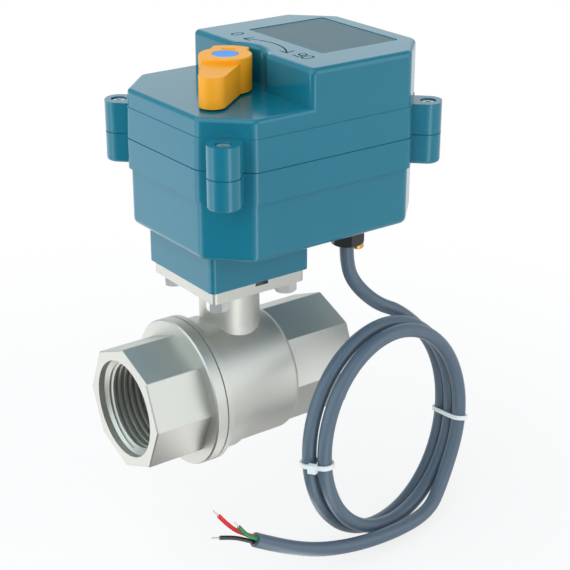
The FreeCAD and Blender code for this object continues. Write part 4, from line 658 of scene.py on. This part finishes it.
def ray_patch(middle, narrowness=1.0):
    """A patch that spreads from under the valve in a direction, 1 along its middle and 0 to the sides."""
    share = paper.add("ShaderNodeVectorMath", {0: away, 1: middle}, output="Value", operation="DOT_PRODUCT")
    share = share.math("MAXIMUM", share, 0.0)
    return share if narrowness == 1.0 else share.math("POWER", share, narrowness)


def fading(first, last, near, far):
    """A value that goes from near to far between two distances from the valve's foot."""
    return paper.add("ShaderNodeMapRange", {"Value": reach, "From Min": first, "From Max": last,
                                            "To Min": near, "To Max": far},
                     interpolation_type="SMOOTHSTEP")


# Painted reflection: glossy rays see painted shade under the valve, a painted dark card, a brighter back
# left and two painted strips of light.
painted_dark_card = 0.92 * ray_patch(cut_corner, 8.0)
painted_light_strips = 2.4 * ray_patch(front, 60.0) + 1.2 * ray_patch(inlet_side, 60.0)
painted_reflection = fading(0.03, 0.12, 0.62, 0.92) * (1.0 - painted_dark_card) + 0.6 * ray_patch(back_left) + painted_light_strips
direct = paper.add("ShaderNodeLightPath", output="Is Camera Ray")
mirrored = paper.add("ShaderNodeLightPath", output="Is Glossy Ray")
matt = paper.add("ShaderNodeBsdfDiffuse", {"Color": (0.92, 0.92, 0.92)})
glow = paper.add("ShaderNodeEmission", {"Color": (1.0, 1.0, 1.0), "Strength": direct + mirrored * painted_reflection})
clear = fading(0.1, 0.32, 0.8, 1.0)
seen_floor = paper.add("ShaderNodeMixShader", {0: clear * direct + mirrored, 1: matt, 2: glow})
paper.add("ShaderNodeOutputMaterial", {"Surface": seen_floor})
floor_mesh.materials.append(paper.owner)
print("floor", round(-lowest / millimetre, 1), "mm under the pipe's axis")

# %% [markdown]
# The room is not built, since only its light counts. It is a ramp by height: white at the horizon,
# bluer and darker halfway up, and paler again overhead. The camera sees plain white in its place.

# %% Room
room = bpy.data.worlds.new("studio_room")
bpy.context.scene.world = room
walls = Finish(room)
height = walls.add("ShaderNodeSeparateXYZ", {"Vector": walls.add("ShaderNodeTexCoord", output="Generated")},
                   output="Z")
tent = walls.ramp(height, (0.0, (0.92, 0.92, 0.90)), (0.42, (0.79, 0.88, 0.93)), (0.72, (0.49, 0.55, 0.60)),
                  (1.0, (0.80, 0.83, 0.85)))
direct = walls.add("ShaderNodeLightPath", output="Is Camera Ray")
soft = walls.add("ShaderNodeBackground", {"Color": tent, "Strength": 0.72})
white = walls.add("ShaderNodeBackground", {"Color": (1.0, 1.0, 1.0), "Strength": 1.0})
seen_room = walls.add("ShaderNodeMixShader", {0: direct, 1: soft, 2: white})
walls.add("ShaderNodeOutputWorld", {"Surface": seen_room})
print("room of", len(walls.tree.nodes), "nodes")

# %% [markdown]
# A bare bulb would give hard shadows and small hot spots on the nickel. Three large soft boxes light
# the valve instead: a strong one from the inlet side, one from the front right and a weak one from
# behind, which keeps the back from going dull. The Standard view transform keeps white paper white.

# %% Lamps
def soft_lamp(name, place, target, size, power, tint=(1.0, 1.0, 1.0)):
    """A square soft box that faces a point, with its size in metres and its power in watts."""
    lamp = bpy.data.lights.new(name, "AREA")
    lamp.size, lamp.energy, lamp.color = size, power, tint
    piece = bpy.data.objects.new(name, lamp)
    piece.location = place
    piece.rotation_euler = (Vector(target) - Vector(place)).to_track_quat("-Z", "Y").to_euler()
    piece.visible_camera = False
    bpy.context.scene.collection.objects.link(piece)
    print(name, "gives", power, "W")


soft_lamp("left_box", (-0.62, 0.08, 0.68), (0.04, 0.0, 0.05), 1.6, 8.6, (0.87, 1.0, 1.03))
soft_lamp("front_box", (0.55, -0.80, 0.30), (0.04, 0.0, 0.03), 1.0, 3.4)
soft_lamp("back_box", (0.55, 0.72, 0.48), (0.04, 0.0, 0.10), 0.8, 0.9)
bpy.context.scene.view_settings.view_transform = "Standard"
